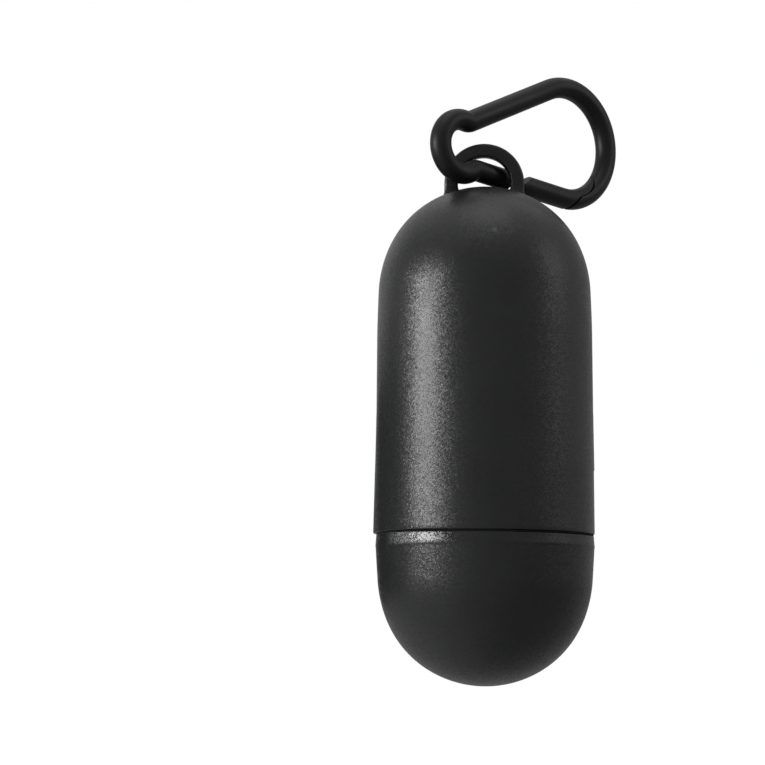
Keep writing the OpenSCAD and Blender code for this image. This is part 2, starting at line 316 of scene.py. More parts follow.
def placed(tree, place, turned=(0, 0, 0), stretch=(1, 1, 1)):
    """Object coordinates in metres, centred on a place in the row frame."""
    coords = tree.nodes.new("ShaderNodeTexCoord").outputs["Object"]
    centre = [-a * b for a, b in zip(place, stretch)]
    out = add(tree, "ShaderNodeMapping", Vector=coords, Location=centre, Scale=stretch).outputs[0]
    if any(turned):
        out = add(tree, "ShaderNodeVectorRotate", {"rotation_type": "EULER_XYZ"}, Vector=out,
                  Rotation=turned).outputs[0]
    return out


def axes_of(tree, vector):
    return add(tree, "ShaderNodeSeparateXYZ", Vector=vector).outputs


def noise(tree, vector, scale, detail=2.0, rough=0.5):
    made = add(tree, "ShaderNodeTexNoise", Vector=vector, Scale=scale, Detail=detail, Roughness=rough)
    return made.outputs["Fac"]


def bump(tree, height, depth, strength, under=None):
    made = add(tree, "ShaderNodeBump", Height=height, Distance=depth, Strength=strength)
    if under is not None:
        feed(tree, made, Normal=under)
    return made.outputs["Normal"]


# %% [markdown]
# A rule is a Geometry Nodes group with named inputs. One helper starts such a group, one ends it with a
# round bar swept along a curve, and one runs it and keeps the result as a plain mesh.

# %% Helpers for rules
def rule_tree(name, **numbers):
    """A geometry node group with named number inputs, a geometry in and a geometry out."""
    tree = bpy.data.node_groups.new(name, "GeometryNodeTree")
    tree.interface.new_socket("Geometry", in_out="INPUT", socket_type="NodeSocketGeometry")
    tree.interface.new_socket("Geometry", in_out="OUTPUT", socket_type="NodeSocketGeometry")
    for key, value in numbers.items():
        kind = "NodeSocketInt" if isinstance(value, int) else "NodeSocketFloat"
        tree.interface.new_socket(key.replace("_", " "), in_out="INPUT", socket_type=kind)
    return tree, tree.nodes.new("NodeGroupInput").outputs, tree.nodes.new("NodeGroupOutput")


def swept(tree, curve, radius, sides, material, out):
    """Gives a curve a round section, and ends the group."""
    ring = add(tree, "GeometryNodeCurvePrimitiveCircle", Resolution=sides, Radius=radius)
    bar = add(tree, "GeometryNodeCurveToMesh", Curve=curve, Profile_Curve=ring.outputs["Curve"],
              Fill_Caps=True)
    soft = add(tree, "GeometryNodeSetShadeSmooth", Geometry=bar.outputs["Mesh"])
    real = add(tree, "GeometryNodeRealizeInstances", Geometry=soft.outputs["Geometry"])
    painted = add(tree, "GeometryNodeSetMaterial", Geometry=real.outputs["Geometry"], Material=material)
    feed(tree, out, i0=painted.outputs["Geometry"])


def by_rule(name, tree, start, place, **numbers):
    """Runs a group on a start mesh and gives the result as a plain closed piece, set in place."""
    change = start.modifiers.new("rule", "NODES")
    change.node_group = tree
    for item in tree.interface.items_tree:
        if item.in_out == "INPUT" and item.name.replace(" ", "_") in numbers:
            change[item.identifier] = numbers[item.name.replace(" ", "_")]
    made = baked(start, name)
    made.data.transform(place)
    made.data.update()
    return outwards(made)


# %% [markdown]
# ## The studio
# The picture shows the dispenser cut out on pure white. An even white world would turn the black plastic
# grey, so the level depends on the ray. Rays from the camera, and rays that mirror or pass through, see
# white, and the rays that light the object see a dimmer world.

# %% World and floor
FLOOR_Z, FLOOR_HALF = -0.19, 3.0
WORLD_LEVEL, FLOOR_GLOW = 0.42, 0.70


def seen_ray(tree):
    """1 for a ray from the camera, off a gloss or through a clear piece, and 0 for the others."""
    path = tree.nodes.new("ShaderNodeLightPath").outputs
    seen = maths(tree, "MAXIMUM", path["Is Camera Ray"], path["Is Glossy Ray"])
    return maths(tree, "MAXIMUM", seen, path["Is Transmission Ray"])


def make_world():
    world = bpy.data.worlds.new("studio")
    bpy.context.scene.world = world
    world.use_nodes = True
    tree = world.node_tree
    level = between(tree, seen_ray(tree), 0, 1, WORLD_LEVEL, 1.0)
    feed(tree, tree.nodes["Background"], Color=rgba(1), Strength=level)


def make_floor():
    square = ((-1, -1), (1, -1), (1, 1), (-1, 1))
    corners = [(x * FLOOR_HALF, y * FLOOR_HALF, FLOOR_Z) for x, y in square]
    floor = piece_from("floor", corners, [(0, 1, 2, 3)], smooth=False)
    material, tree, shader = new_material("floor_white")
    feed(tree, shader, Base_Color=rgba(0.8), Roughness=0.9, Specular_IOR_Level=0.0,
         Emission_Color=rgba(1), Emission_Strength=product(tree, seen_ray(tree), FLOOR_GLOW))
    floor.data.materials.append(material)
    floor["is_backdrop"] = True


make_world()
make_floor()
print("world level", WORLD_LEVEL, "and floor at", FLOOR_Z)

# %% [markdown]
# Satin black plastic shows its surroundings more than itself. A tent of grey card, which only mirror rays
# see, gives it something to mirror. The greys change with the direction, and set how dark the bands between
# the highlight and the edges are. The ground has greys of its own, which the lower dome mirrors.

# %% The tent
AIM = capsule_place @ Vector((0, 0, 56))
TENT_R, TENT_TOP, TENT_LIFT, TENT_COLUMNS = 1.1, 1.3, 0.001, 72
GROUND_FADE, TOP_FADE = (-0.05, -0.12), (0.75, 1.3)
# Directions in degrees, with 0 on the camera's side and 90 on the right, and their greys.
TENT_GREYS = [(-180, 0.5), (-140, 0.7), (-95, 0.3), (-45, 0.38), (0, 0.38), (50, 0.6), (95, 0.75),
              (130, 0.4), (180, 0.4)]
GROUND_GREYS = [(-180, 0.4), (-130, 0.5), (-90, 0.7), (-40, 0.6), (0, 0.35), (30, 0.25), (90, 0.25),
                (140, 0.35), (180, 0.4)]


def mirrored_only(card):
    for ray in ("camera", "diffuse", "transmission", "shadow", "volume_scatter"):
        setattr(card, "visible_" + ray, False)
    card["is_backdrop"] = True


def tent_card():
    material, tree, _ = new_material("tent_card")
    tree.nodes.clear()
    x, y, z = axes_of(tree, placed(tree, (AIM.x, AIM.y, 0)))
    turn = maths(tree, "ARCTAN2", x, product(tree, y, -1.0))
    share = add(tree, "ShaderNodeMath", {"operation": "MULTIPLY_ADD"}, i0=turn, i1=1 / TURN, i2=0.5)
    wall, ground = (ramp(tree, share.outputs[0], [(degrees / 360 + 0.5, grey) for degrees, grey in greys])
                    for greys in (TENT_GREYS, GROUND_GREYS))
    grey = mix(tree, between(tree, z, *GROUND_FADE), wall, ground)
    lit = add(tree, "ShaderNodeEmission", Color=mix(tree, between(tree, z, *TOP_FADE), grey, 1.0))
    add(tree, "ShaderNodeOutputMaterial", Surface=lit.outputs[0])
    return material


def make_tent():
    """A round wall of card on a ground of card, open at the top."""
    n = TENT_COLUMNS
    ring = [(TENT_R * math.cos(a), TENT_R * math.sin(a)) for a in np.arange(n) * TURN / n]
    points = [(x, y, z) for z in (FLOOR_Z + TENT_LIFT, TENT_TOP) for x, y in ring]
    faces = [[i, (i + 1) % n, n + (i + 1) % n, n + i] for i in range(n)] + [list(range(n))]
    tent = piece_from("tent", points, faces, smooth=False)
    tent.data.materials.append(tent_card())
    mirrored_only(tent)


make_tent()
print("tent with", len(TENT_GREYS), "greys on its wall and", len(GROUND_GREYS), "on its ground")

# %% [markdown]
# Along the capsule's left edge the black is deepest, as a glossy edge is that mirrors a dark corner. A
# black card to the left draws that band. It fades out along all four sides, so that no hard line runs over
# the plastic when the capsule swings.

# %% The dark card
CARD_MIDDLE, CARD_TURN = (-104, 40, 36), math.radians(64.5)
CARD_HALF_W, CARD_HALF_H = 0.11, 0.055
# Each side's fade, from clear to dark, in metres from the card's middle.
FADES_ACROSS, FADES_UP = ((-0.070, -0.048), (0.108, 0.082)), ((0.047, 0.033), (-0.045, -0.030))


def make_dark_card():
    middle = capsule_place @ Vector(CARD_MIDDLE)
    side = Vector((math.cos(CARD_TURN), math.sin(CARD_TURN), 0)) * CARD_HALF_W
    up = Vector((0, 0, CARD_HALF_H))
    corners = [middle - side - up, middle + side - up, middle + side + up, middle - side + up]
    card = piece_from("dark_card", corners, [(0, 1, 2, 3)], smooth=False)
    material, tree, shader = new_material("dark_card")
    across, _, height = axes_of(tree, placed(tree, middle, (0, 0, -CARD_TURN)))
    sides = [(across, fade) for fade in FADES_ACROSS] + [(height, fade) for fade in FADES_UP]
    inner = product(tree, *(between(tree, way, *fade) for way, fade in sides))
    feed(tree, shader, Base_Color=rgba(0.02), Roughness=1.0, Specular_IOR_Level=0.0, Alpha=inner)
    card.data.materials.append(material)
    mirrored_only(card)


make_dark_card()
print("dark card at", CARD_MIDDLE, "millimetres from the capsule's bottom")

# %% [markdown]
# A broad soft box at the front left draws the long grainy highlight down the capsule. It is an ellipse, so
# that the highlight fades at both ends. Softer boxes light the other sides. The two at the back are hidden
# from mirror rays, or they would show as bright bands along the edges.

# %% Soft boxes
def soft_box(name, azimuth, elevation, distance, width, height, level, mirrored=True, shape="RECTANGLE"):
    """An area lamp that faces the capsule. Azimuth 0 is the camera's side, and 90 the right side."""
    a, e = math.radians(azimuth), math.radians(elevation)
    out = Vector((math.sin(a) * math.cos(e), -math.cos(a) * math.cos(e), math.sin(e)))
    lamp = bpy.data.lights.new(name, "AREA")
    lamp.shape = shape
    lamp.size, lamp.size_y = width, height
    lamp.energy = level * math.pi * width * height
    made = bpy.data.objects.new(name, lamp)
    made.location = AIM + out * distance
    made.rotation_euler = out.to_track_quat("Z", "Y").to_euler()
    made.visible_glossy = mirrored
    bpy.context.scene.collection.objects.link(made)


soft_box("key_box", -66, 9.3, 0.62, 0.34, 0.15, 28.0, shape="ELLIPSE")
soft_box("right_box", 80, 25, 0.8, 0.3, 0.4, 2.0)
soft_box("back_box", 150, 20, 0.8, 0.3, 0.4, 3.0, mirrored=False)
soft_box("back_left_box", 215, 30, 0.8, 0.25, 0.4, 2.0, mirrored=False)
soft_box("top_box", 10, 78, 0.7, 0.4, 0.4, 1.6)
bpy.context.scene.view_settings.view_transform = "Standard"
print("lamps:", sorted(lamp.name for lamp in bpy.data.lights))

# %% [markdown]
# ## Materials
# Every material is a small tree of nodes on Object coordinates, so that its pattern stays on the piece in
# any pose. The first helpers find a place on the capsule and draw a soft spot or a patch of scratches
# there.

# %% Places, spots and scratches on the capsule
AXIS = tuple(capsule_place.translation)


def on_capsule(x, y, z):
    """A place given in millimetres from the capsule's bottom, in the row frame."""
    return [a + b * MM for a, b in zip(AXIS, (x, y, z))]


def distance_to(tree, place):
    return vectors(tree, "LENGTH", i0=placed(tree, place))


def spot(tree, place, size):
    """1 at a place, falling to 0 at a distance of size metres."""
    return between(tree, distance_to(tree, place), size, 0.0)


def scratches(tree, patches):
    """Patches of fine slanting hairlines. Each has a place on the capsule in millimetres, a turn, a
    size and the distance between two lines."""
    marks = 0.0
    for place, turned, size, spacing in patches:
        place = on_capsule(*place)
        across = axes_of(tree, placed(tree, place, turned))[0]
        wave = maths(tree, "SINE", product(tree, across, TURN / spacing))
        broken = noise(tree, placed(tree, place, turned, (900, 900, 130)), 1.0)
        lines = product(tree, between(tree, wave, 0.965, 1.0), between(tree, broken, 0.52, 0.62),
                        spot(tree, place, size))
        marks = maths(tree, "MAXIMUM", marks, lines)
    return marks


print("capsule's bottom at", [round(v / MM, 2) for v in AXIS])

# %% [markdown]
# Both halves of the capsule are one black plastic with a pebble grain. A bump makes the pebbles, and a
# small random tip of the normal on each facet makes the sparkle inside the highlight, which a bump alone
# smooths away. Clouds and streaks of wear change the gloss, and fine hairlines lie on the front. The land,
# which is the narrow band under the seam, is handled most. At its front left the grain is polished down, so
# it shines more, and a small pale grey patch is painted there as a highlight. The shell has one gate mark on
# its dome instead.

# %% Capsule plastic
CAP_RIM, PLASTIC_GREY = 28.6, 0.0095
GRAIN_SCALE, FACET_SCALE, GRAIN_DEPTH = 3600.0, 3800.0, 0.00002
PLASTIC_ROUGH, CLOUD_POLISH, STREAK_DULL = 0.36, 0.06, 0.05
# The last grey here is shade painted on the ledge in the seam.
# The third grey here is a pale highlight painted on the land.
HAIRLINE_SHARE, HAIRLINE_GREY, PAINTED_HIGHLIGHT_GREY, SEAM_SHADE_GREY = 0.22, 0.09, 0.15, 0.001
FACET_TIP, RUBBED_TIP, RUBBED_POLISH = 0.13, 0.05, 0.13
LAND_LOW, LAND_HIGH = (-2.9, -2.2), (0.6, 0.3)
# The second spot is where that pale highlight is painted, on the land's front left.
RUBBED_SPOT, PAINTED_HIGHLIGHT_SPOT = ((-14.3, -14.7, 27.3), 0.021), ((-14.8, -14.3, 27.3), 0.0075)
GATE_MARK, MARK_DEPTH, MARK_SHARE, MARK_GREY = (1.15, -18.26, 83.42), 0.00004, 0.3, 0.08
FRONT_SCRATCHES = [((-12.1, -16.6, 44.6), (0.0, 0.65, 0.4), 0.006, 0.0011),
                   ((-10.5, -17.7, 39.8), (0.0, -0.5, 0.2), 0.005, 0.0014),
                   ((-9.0, -15.0, 83.0), (0.0, 1.1, 0.3), 0.007, 0.0013)]
CAP_SCRATCHES = [((-7.0, -19.3, 24.0), (0.0, 1.35, 0.2), 0.009, 0.0012)]


def land_polish_and_painted_highlight(tree, vector, fine, rim):
    """How far the land is rubbed to a gloss, and where a pale highlight is painted on it."""
    height = axes_of(tree, vector)[2]
    land = product(tree, *(between(tree, height, (rim + low) * MM, (rim + high) * MM)
                           for low, high in (LAND_LOW, LAND_HIGH)))
    # The second spot is a pale grey patch painted on the land as a highlight, broken up by the grain.
    rubbed, painted_highlight = (product(tree, land, spot(tree, on_capsule(*place), size))
                       for place, size in (RUBBED_SPOT, PAINTED_HIGHLIGHT_SPOT))
    return rubbed, product(tree, painted_highlight, between(tree, fine, 0.38, 0.62))


def sparkling(tree, vector, rubbed):
    """The surface's normal, tipped a little at random on each facet of the grain."""
    facets = add(tree, "ShaderNodeTexVoronoi", {"feature": "F1"}, Vector=vector, Scale=FACET_SCALE)
    centred = vectors(tree, "SUBTRACT", i0=facets.outputs["Color"], i1=(0.5, 0.5, 0.5))
    share = maths(tree, "ADD", FACET_TIP, product(tree, rubbed, RUBBED_TIP))
    normal = tree.nodes.new("ShaderNodeNewGeometry").outputs["Normal"]
    tipped = vectors(tree, "ADD", i0=normal, i1=vectors(tree, "SCALE", i0=centred, Scale=share))
    return vectors(tree, "NORMALIZE", i0=tipped)


def grained_plastic(name, grey, rim=None):
    """The capsule's plastic. A piece with a rim has a land and a seam, and one without has the gate mark."""
    material, tree, shader = new_material(name)
    vector = placed(tree, AXIS)
    pebble = add(tree, "ShaderNodeTexVoronoi", {"feature": "SMOOTH_F1"}, Vector=vector, Scale=GRAIN_SCALE,
                 Smoothness=0.3)
    fine = noise(tree, vector, GRAIN_SCALE)
    clouds = noise(tree, vector, 75.0, 5.0, 0.6)
    streaks = noise(tree, placed(tree, AXIS, stretch=(1, 1, 0.22)), 260.0, 4.0, 0.65)
    rubbed, painted_highlight = land_polish_and_painted_highlight(tree, vector, fine, rim) if rim else (0.0, 0.0)

    grain = maths(tree, "ADD", pebble.outputs["Distance"], product(tree, fine, 0.5))
    strength = between(tree, streaks, *NOISE_SPAN, 0.55, 0.8)
    normal = bump(tree, grain, GRAIN_DEPTH, strength, sparkling(tree, vector, rubbed))

    polish = product(tree, between(tree, clouds, 0.35, 0.75), CLOUD_POLISH)
    rough = maths(tree, "SUBTRACT", PLASTIC_ROUGH, polish)
    rough = maths(tree, "ADD", rough, product(tree, between(tree, streaks, 0.4, 0.8), STREAK_DULL))
    marks = scratches(tree, FRONT_SCRATCHES + (CAP_SCRATCHES if rim else []))
    colour = mix(tree, product(tree, marks, HAIRLINE_SHARE), (grey, grey * 1.03, grey * 1.05), HAIRLINE_GREY)
    colour = vectors(tree, "SCALE", i0=colour, Scale=between(tree, clouds, *NOISE_SPAN, 0.85, 1.15))
    if rim:
        # Above its rim the cap, with its ledge and its neck, is painted nearly black and made fully rough as
        # the seam's shade.
        seam = add(tree, "ShaderNodeAttribute", {"attribute_name": "in_seam"}).outputs["Fac"]
        rough = maths(tree, "SUBTRACT", rough, product(tree, rubbed, RUBBED_POLISH))
        rough = maths(tree, "ADD", rough, seam)
        # The pale grey patch mixed in here is a painted highlight on the land.
        colour = mix(tree, seam, mix(tree, painted_highlight, colour, PAINTED_HIGHLIGHT_GREY), SEAM_SHADE_GREY)
    else:
        mark = between(tree, distance_to(tree, on_capsule(*GATE_MARK)), 0.0007, 0.0003)
        normal = bump(tree, mark, MARK_DEPTH, 0.6, normal)
        colour = mix(tree, product(tree, mark, MARK_SHARE), colour, MARK_GREY)
    feed(tree, shader, Base_Color=colour, Roughness=maths(tree, "MINIMUM", rough, 1.0), Normal=normal,
         Specular_IOR_Level=0.25)
    return material


shell_plastic = grained_plastic("shell_plastic", PLASTIC_GREY)
cap_plastic = grained_plastic("cap_plastic", PLASTIC_GREY, rim=CAP_RIM)
print("nodes in the plastic:", [len(m.node_tree.nodes) for m in (shell_plastic, cap_plastic)])

# %% [markdown]
# The hook has a satin black coating on die cast metal. The coating is smoother than the capsule, with a
# slight orange peel and small rubs where it is handled. The gate is coated too, and a touch more worn.

# %% Hook coating
def coated(name, grey, rubbed):
    material, tree, shader = new_material(name)
    vector = placed(tree, (0, 0, 0))
    peel = noise(tree, vector, 900.0, 3.0, 0.55)
    dust = noise(tree, vector, 3000.0, 2.0)
    clouds = noise(tree, vector, 160.0, 4.0, 0.6)
    worn = between(tree, noise(tree, vector, 420.0, 6.0, 0.7), 0.66, 0.74)
    colour = mix(tree, product(tree, worn, rubbed), (grey, grey, grey * 1.06), (0.06, 0.06, 0.062))
    height = maths(tree, "ADD", peel, product(tree, dust, 0.25))
    feed(tree, shader, Base_Color=colour, Roughness=between(tree, clouds, *NOISE_SPAN, 0.36, 0.46),
         Normal=bump(tree, height, 0.00003, 0.55), Specular_IOR_Level=0.16)
    return material


hook_paint = coated("hook_paint", 0.006, 0.35)
gate_paint = coated("gate_paint", 0.0065, 0.4)
print("coating on the hook and on the gate")

# %% [markdown]
# The pin, plunger and spring are plain steel. One noise gives its tone, its gloss and a shallow bump
# together, so the three agree, and on the plunger that noise is drawn out into fine lines.

# %% Steel
def steel(name, grey, lines):
    material, tree, shader = new_material(name)
    brushed = noise(tree, placed(tree, (0, 0, 0), stretch=lines), 1500.0, 5.0, 0.7)
    colour = mix(tree, between(tree, brushed, *NOISE_SPAN), grey * 0.8, grey * 1.1)
    feed(tree, shader, Base_Color=colour, Roughness=between(tree, brushed, *NOISE_SPAN, 0.24, 0.36),
         Normal=bump(tree, brushed, 0.00001, 0.5), Metallic=1.0)
    return material


pin_steel = steel("pin_steel", 0.45, (1, 1, 1))
plunger_steel = steel("plunger_steel", 0.5, (1, 1, 0.2))
spring_steel = steel("spring_steel", 0.55, (1, 1, 1))
print("three steels")

# %% [markdown]
# The core is a strip of board wound in a spiral. Its seam climbs like a thread, so it is drawn from the
# angle and the height together, and fibres and pale flecks lie in the board.

# %% Board
STRIP_RISE, SEAM_SHARE, FLECK_SHARE = 0.019, 0.6, 0.3


def board(name):
    material, tree, shader = new_material(name)
    vector = placed(tree, AXIS)
    x, y, z = axes_of(tree, vector)
    turn = product(tree, maths(tree, "ARCTAN2", y, x), 1 / TURN)
    wind = maths(tree, "FRACT", maths(tree, "ADD", turn, product(tree, z, 1 / STRIP_RISE)))
    seam = product(tree, between(tree, wind, 0.0, 0.02), between(tree, wind, 0.06, 0.03))
    fibre = noise(tree, placed(tree, AXIS, stretch=(1, 1, 0.4)), 700.0, 6.0, 0.7)
    flecks = between(tree, noise(tree, vector, 1300.0, 2.0), 0.62, 0.7)
    colour = mix(tree, between(tree, fibre, *NOISE_SPAN), (0.30, 0.20, 0.12), (0.46, 0.33, 0.21))
    colour = mix(tree, product(tree, seam, SEAM_SHARE), colour, (0.16, 0.1, 0.06))
    colour = mix(tree, product(tree, flecks, FLECK_SHARE), colour, (0.6, 0.5, 0.38))
    height = maths(tree, "SUBTRACT", fibre, product(tree, seam, 0.8))
    feed(tree, shader, Base_Color=colour, Roughness=0.85, Normal=bump(tree, height, 0.00006, 0.7),
         Specular_IOR_Level=0.2)
    return material


core_board = board("core_board")
print("board:", len(core_board.node_tree.nodes), "nodes")

# %% [markdown]
# The bags are thin grey film wound in many layers. Long stretch lines run down it, and soft wrinkles and
# creases gather near the roll's ends. A clear coat gives film its second, sharper gloss.

# %% Film
# Heights in metres over the capsule's bottom, where the creases near each end of the roll begin and are full.
CREASED_ENDS = (0.052, 0.064), (0.020, 0.010)


def film(name):
    material, tree, shader = new_material(name)
    z = axes_of(tree, placed(tree, AXIS))[2]
    long_lines = noise(tree, placed(tree, AXIS, stretch=(1, 1, 0.12)), 420.0, 4.0, 0.6)
    wrinkle = noise(tree, placed(tree, AXIS, turned=(0.3, 0.2, 0.0), stretch=(1, 1, 0.5)), 330.0, 5.0, 0.6)
    crease = add(tree, "ShaderNodeTexVoronoi", {"feature": "DISTANCE_TO_EDGE"}, Scale=210.0,
                 Vector=placed(tree, AXIS, stretch=(1, 1, 0.45)))
    edge = between(tree, crease.outputs["Distance"], 0.07, 0.0)
    near_ends = maths(tree, "MAXIMUM", *(between(tree, z, *heights) for heights in CREASED_ENDS))
    near_ends = maths(tree, "ADD", product(tree, near_ends, 0.8), 0.2)
    colour = mix(tree, between(tree, wrinkle, *NOISE_SPAN), (0.34, 0.355, 0.365), (0.44, 0.455, 0.465))
    colour = mix(tree, product(tree, edge, 0.25), colour, (0.6, 0.61, 0.62))
    height = maths(tree, "ADD", product(tree, long_lines, 0.35), product(tree, wrinkle, near_ends, 1.2))
    height = maths(tree, "ADD", height, product(tree, edge, near_ends, 0.35))
    feed(tree, shader, Base_Color=colour, Roughness=between(tree, wrinkle, *NOISE_SPAN, 0.24, 0.34),
         Normal=bump(tree, height, 0.00035, 0.7), Specular_IOR_Level=0.5,
         Coat_Weight=0.3, Coat_Roughness=0.15)
    return material


bag_film = film("bag_film")
print("materials:", sorted(m.name for m in bpy.data.materials))

# %% [markdown]
# ## The upper shell
# The shell's wall is drawn flat, as angle and height, like a label that is then rolled round the axis. Its
# lower outline runs along the rim, up the edge of the loading mouth at the back, along the slit to its
# round end and back under the hood's lip. The flat sheet is cut into triangles once, and rolled twice: out
# at the shell's surface and in at its bore. Rows of rounded edge close the two along the outline. A lathe
# alone can't do this, and cutting the slit out of a turned shell would leave long thin faces that spoil the
# highlight.

# %% Numbers of the shell, in millimetres from the capsule's bottom
RIM, DOME_Z = 29.0, 74.4
SEAM_R, DOME_R, WALL = 20.65, 20.4, 1.6
HOOD_H, HOOD_RISE, HOOD_FLARE, CREASE = 22.4, 2.6, 0.45, 0.25
LIP_RIGHT, LIP_LEFT, SLIT_H, SLIT_RIGHT, SLIT_END_R, MOUTH_RIGHT = 11.7, -1.2, 1.4, 17.5, 1.3, -7.0
BORE_R, BORE_TOP, DOME_IN_R = SEAM_R - WALL, 35.0, DOME_R - WALL
SHEET_R, EDGE_R, COLUMNS = 20.65, 0.2, 144
DRAW_IN, CAP_DRAW_IN, DRAW_DEPTH = (66.0, 79.0, 93), (-26.5, -15.5, -2.5), 0.26
LIP_SLOPE = math.atan((LIP_RIGHT - LIP_LEFT) / (2 * SEAM_R))
LIP_MID = RIM + (LIP_RIGHT + LIP_LEFT) / 2
HOOD_TILT = math.atan((HOOD_RISE - HOOD_FLARE) / HOOD_H)
HOOD_TOP_R = SEAM_R + (DOME_R - SEAM_R) * HOOD_H / (DOME_Z - RIM)
HOOD_CONE = (SEAM_R + HOOD_FLARE - HOOD_TOP_R) / HOOD_H
print("lip slopes by", round(math.degrees(LIP_SLOPE), 1), "degrees, hood leans by",
      round(math.degrees(HOOD_TILT), 1))

# %% [markdown]
# The wall's radius follows from the angle and the height. The hood is a leaning cone that rises out of the
# wall with a soft crease, and ends at the sloping lip. The wall draws in a little before the dome, because
# a straight wall that meets a ball keeps its highlight too long and then drops it too quickly.


# %% Radii of the wall, the hood and the bore
def soft_step(value, low, high):
    t = np.clip((value - low) / (high - low), 0, 1)
    return t * t * (3 - 2 * t)


def shoulder(z, start, most, end):
    """How far the wall draws in before its dome begins."""
    return DRAW_DEPTH * soft_step(z, start, most) * soft_step(-z, -end, -most)


def hood_radius(angle, z, inset=0.0):
    """Distance of the leaning hood cone from the capsule's axis, found in rounds that settle on it."""
    fall = z - (RIM + HOOD_H)
    r = np.full_like(angle, SEAM_R)
    for _ in range(8):
        x, y = r * np.cos(angle), r * np.sin(angle)
        v = y * math.cos(HOOD_TILT) + fall * math.sin(HOOD_TILT)
        w = -y * math.sin(HOOD_TILT) + fall * math.cos(HOOD_TILT)
        r = r + (HOOD_TOP_R - 0.02 - inset - HOOD_CONE * w - np.hypot(x, v))
    # Over its top the cone falls away fast, so that the wall takes over.
    return r - 4 * np.maximum(w, 0)


def raised(base, hood, above):
    """The larger of two radii with a soft crease between them, where the sheet is above the lip."""
    share = np.clip(0.5 + (hood - base) / (2 * CREASE), 0, 1)
    top = base + (hood - base) * share + CREASE * share * (1 - share) * 0.5
    return base + (top - base) * above


def outer_radius(angle, z):
    base = SEAM_R + (DOME_R - SEAM_R) * np.clip((z - RIM) / (DOME_Z - RIM), 0, 1) - shoulder(z, *DRAW_IN)
    lip = LIP_MID + base * np.cos(angle) * math.tan(LIP_SLOPE)
    return raised(base, hood_radius(angle, z), soft_step(z, lip - 0.45, lip - 0.05))


def inner_radius(angle, z):
    base = BORE_R + (DOME_IN_R - BORE_R) * np.clip((z - BORE_TOP) / (DOME_Z - BORE_TOP), 0, 1)
    lip = LIP_MID - SLIT_H / 2 + base * np.cos(angle) * math.tan(LIP_SLOPE)
    return raised(base, hood_radius(angle, z, WALL), soft_step(z, lip, lip + 0.5))


back = np.array([math.pi / 2])
print("wall and hood at the back, 10 mm over the rim:", outer_radius(back, np.array([RIM + 10])).round(2))

# %% [markdown]
# Shell and cap share one rule for their thread. It gives the height of a right-hand ridge at any angle and
# height, so the same ridge is pushed out of the cap's neck and pressed into the shell's bore.

# %% The thread
PITCH, THREAD_DEPTH = 2.5, 0.35
GROOVE = {"start": 29.9, "turns": 1.6, "half": 0.55}
RIDGE = {"start": 29.6, "turns": 1.5, "half": 0.5}


def thread(angle, z, start, turns, half):
    """1 on the middle of a right-hand helical band, 0 beside it, tapered at both ends."""
    height = np.zeros_like(z)
    for k in range(int(turns) + 2):
        along = (angle % TURN) / TURN + k
        taper = soft_step(along, 0, 0.12) * soft_step(-along, -turns, 0.12 - turns)
        across = np.abs(z - (start + PITCH * along)) / half
        height = np.maximum(height, taper * soft_step(-across, -1.0, -0.45))
    return height


print("thread of", RIDGE["turns"], "turns, cut", THREAD_DEPTH, "mm deep at a pitch of", PITCH)


# %% [markdown]
# The outline starts at the front, runs round the rim to the mouth, along the slit and back under the lip,
# and ends at the front again. It is smoothed and then spaced evenly, because the rounded edge follows it
# point by point.

# %% The outline of the flat sheet
def along(points, spacing):
    """Points at an even spacing along a line."""
    points = np.array(points, float)
    steps = np.hypot(*np.diff(points, axis=0).T)
    total = np.concatenate([[0], np.cumsum(steps)])
    places = np.linspace(0, total[-1], max(2, int(round(total[-1] / spacing)) + 1))
    return np.stack([np.interp(places, total, points[:, i]) for i in range(2)], axis=1)


def flat(angle):
    return np.radians(angle) * SHEET_R


def on_back(x):
    """The sheet's place, along the rim, of a point at that X on the back half."""
    return SHEET_R * math.acos(max(-1.0, min(1.0, x / SHEET_R)))


def rim_height(s):
    """The cap sits a little askew: the seam is lowest at the front right."""
    return RIM - 0.47 + 0.27 * np.sin(s / SHEET_R) - 0.14 * np.cos(s / SHEET_R)


def sheet_outline():
    slope = math.tan(LIP_SLOPE)
    half = SLIT_H / 2 / math.cos(LIP_SLOPE)
    end_z = LIP_MID + SLIT_RIGHT * slope - SLIT_H / 2

    def low(x):
        return end_z + (x - SLIT_RIGHT) * slope - half

    def high(x):
        return end_z + (x - SLIT_RIGHT) * slope + half + 0.1

    lip_end = (RIM - 0.25 - high(0)) / slope
    straight_end = SLIT_RIGHT - 1.1
    squeeze = -SHEET_R / math.sqrt(SHEET_R**2 - SLIT_RIGHT**2)
    line = [(s, rim_height(s)) for s in np.linspace(flat(-90), on_back(MOUTH_RIGHT), 60)]
    line += [(on_back(x), low(x)) for x in np.linspace(MOUTH_RIGHT, straight_end, 40)]
    tilt = math.degrees(LIP_SLOPE)
    line += [(on_back(SLIT_RIGHT) + (px - SLIT_RIGHT) * squeeze, pz)
             for px, pz in arc((SLIT_RIGHT, end_z), SLIT_END_R, tilt - 145, tilt + 142, 24)]
    line += [(on_back(x), high(x)) for x in np.linspace(straight_end, lip_end, 60)]
    line += [(s, rim_height(s)) for s in np.linspace(on_back(lip_end) + 0.3, flat(270), 60)]
    fine = along(line, 0.12)
    kernel = np.hanning(7)
    kernel /= kernel.sum()
    soft = fine.copy()
    for i in range(2):
        soft[:, i] = np.convolve(np.pad(fine[:, i], 3, mode="edge"), kernel, mode="valid")
    soft[0], soft[-1] = fine[0], fine[-1]
    return along(soft, 0.5)


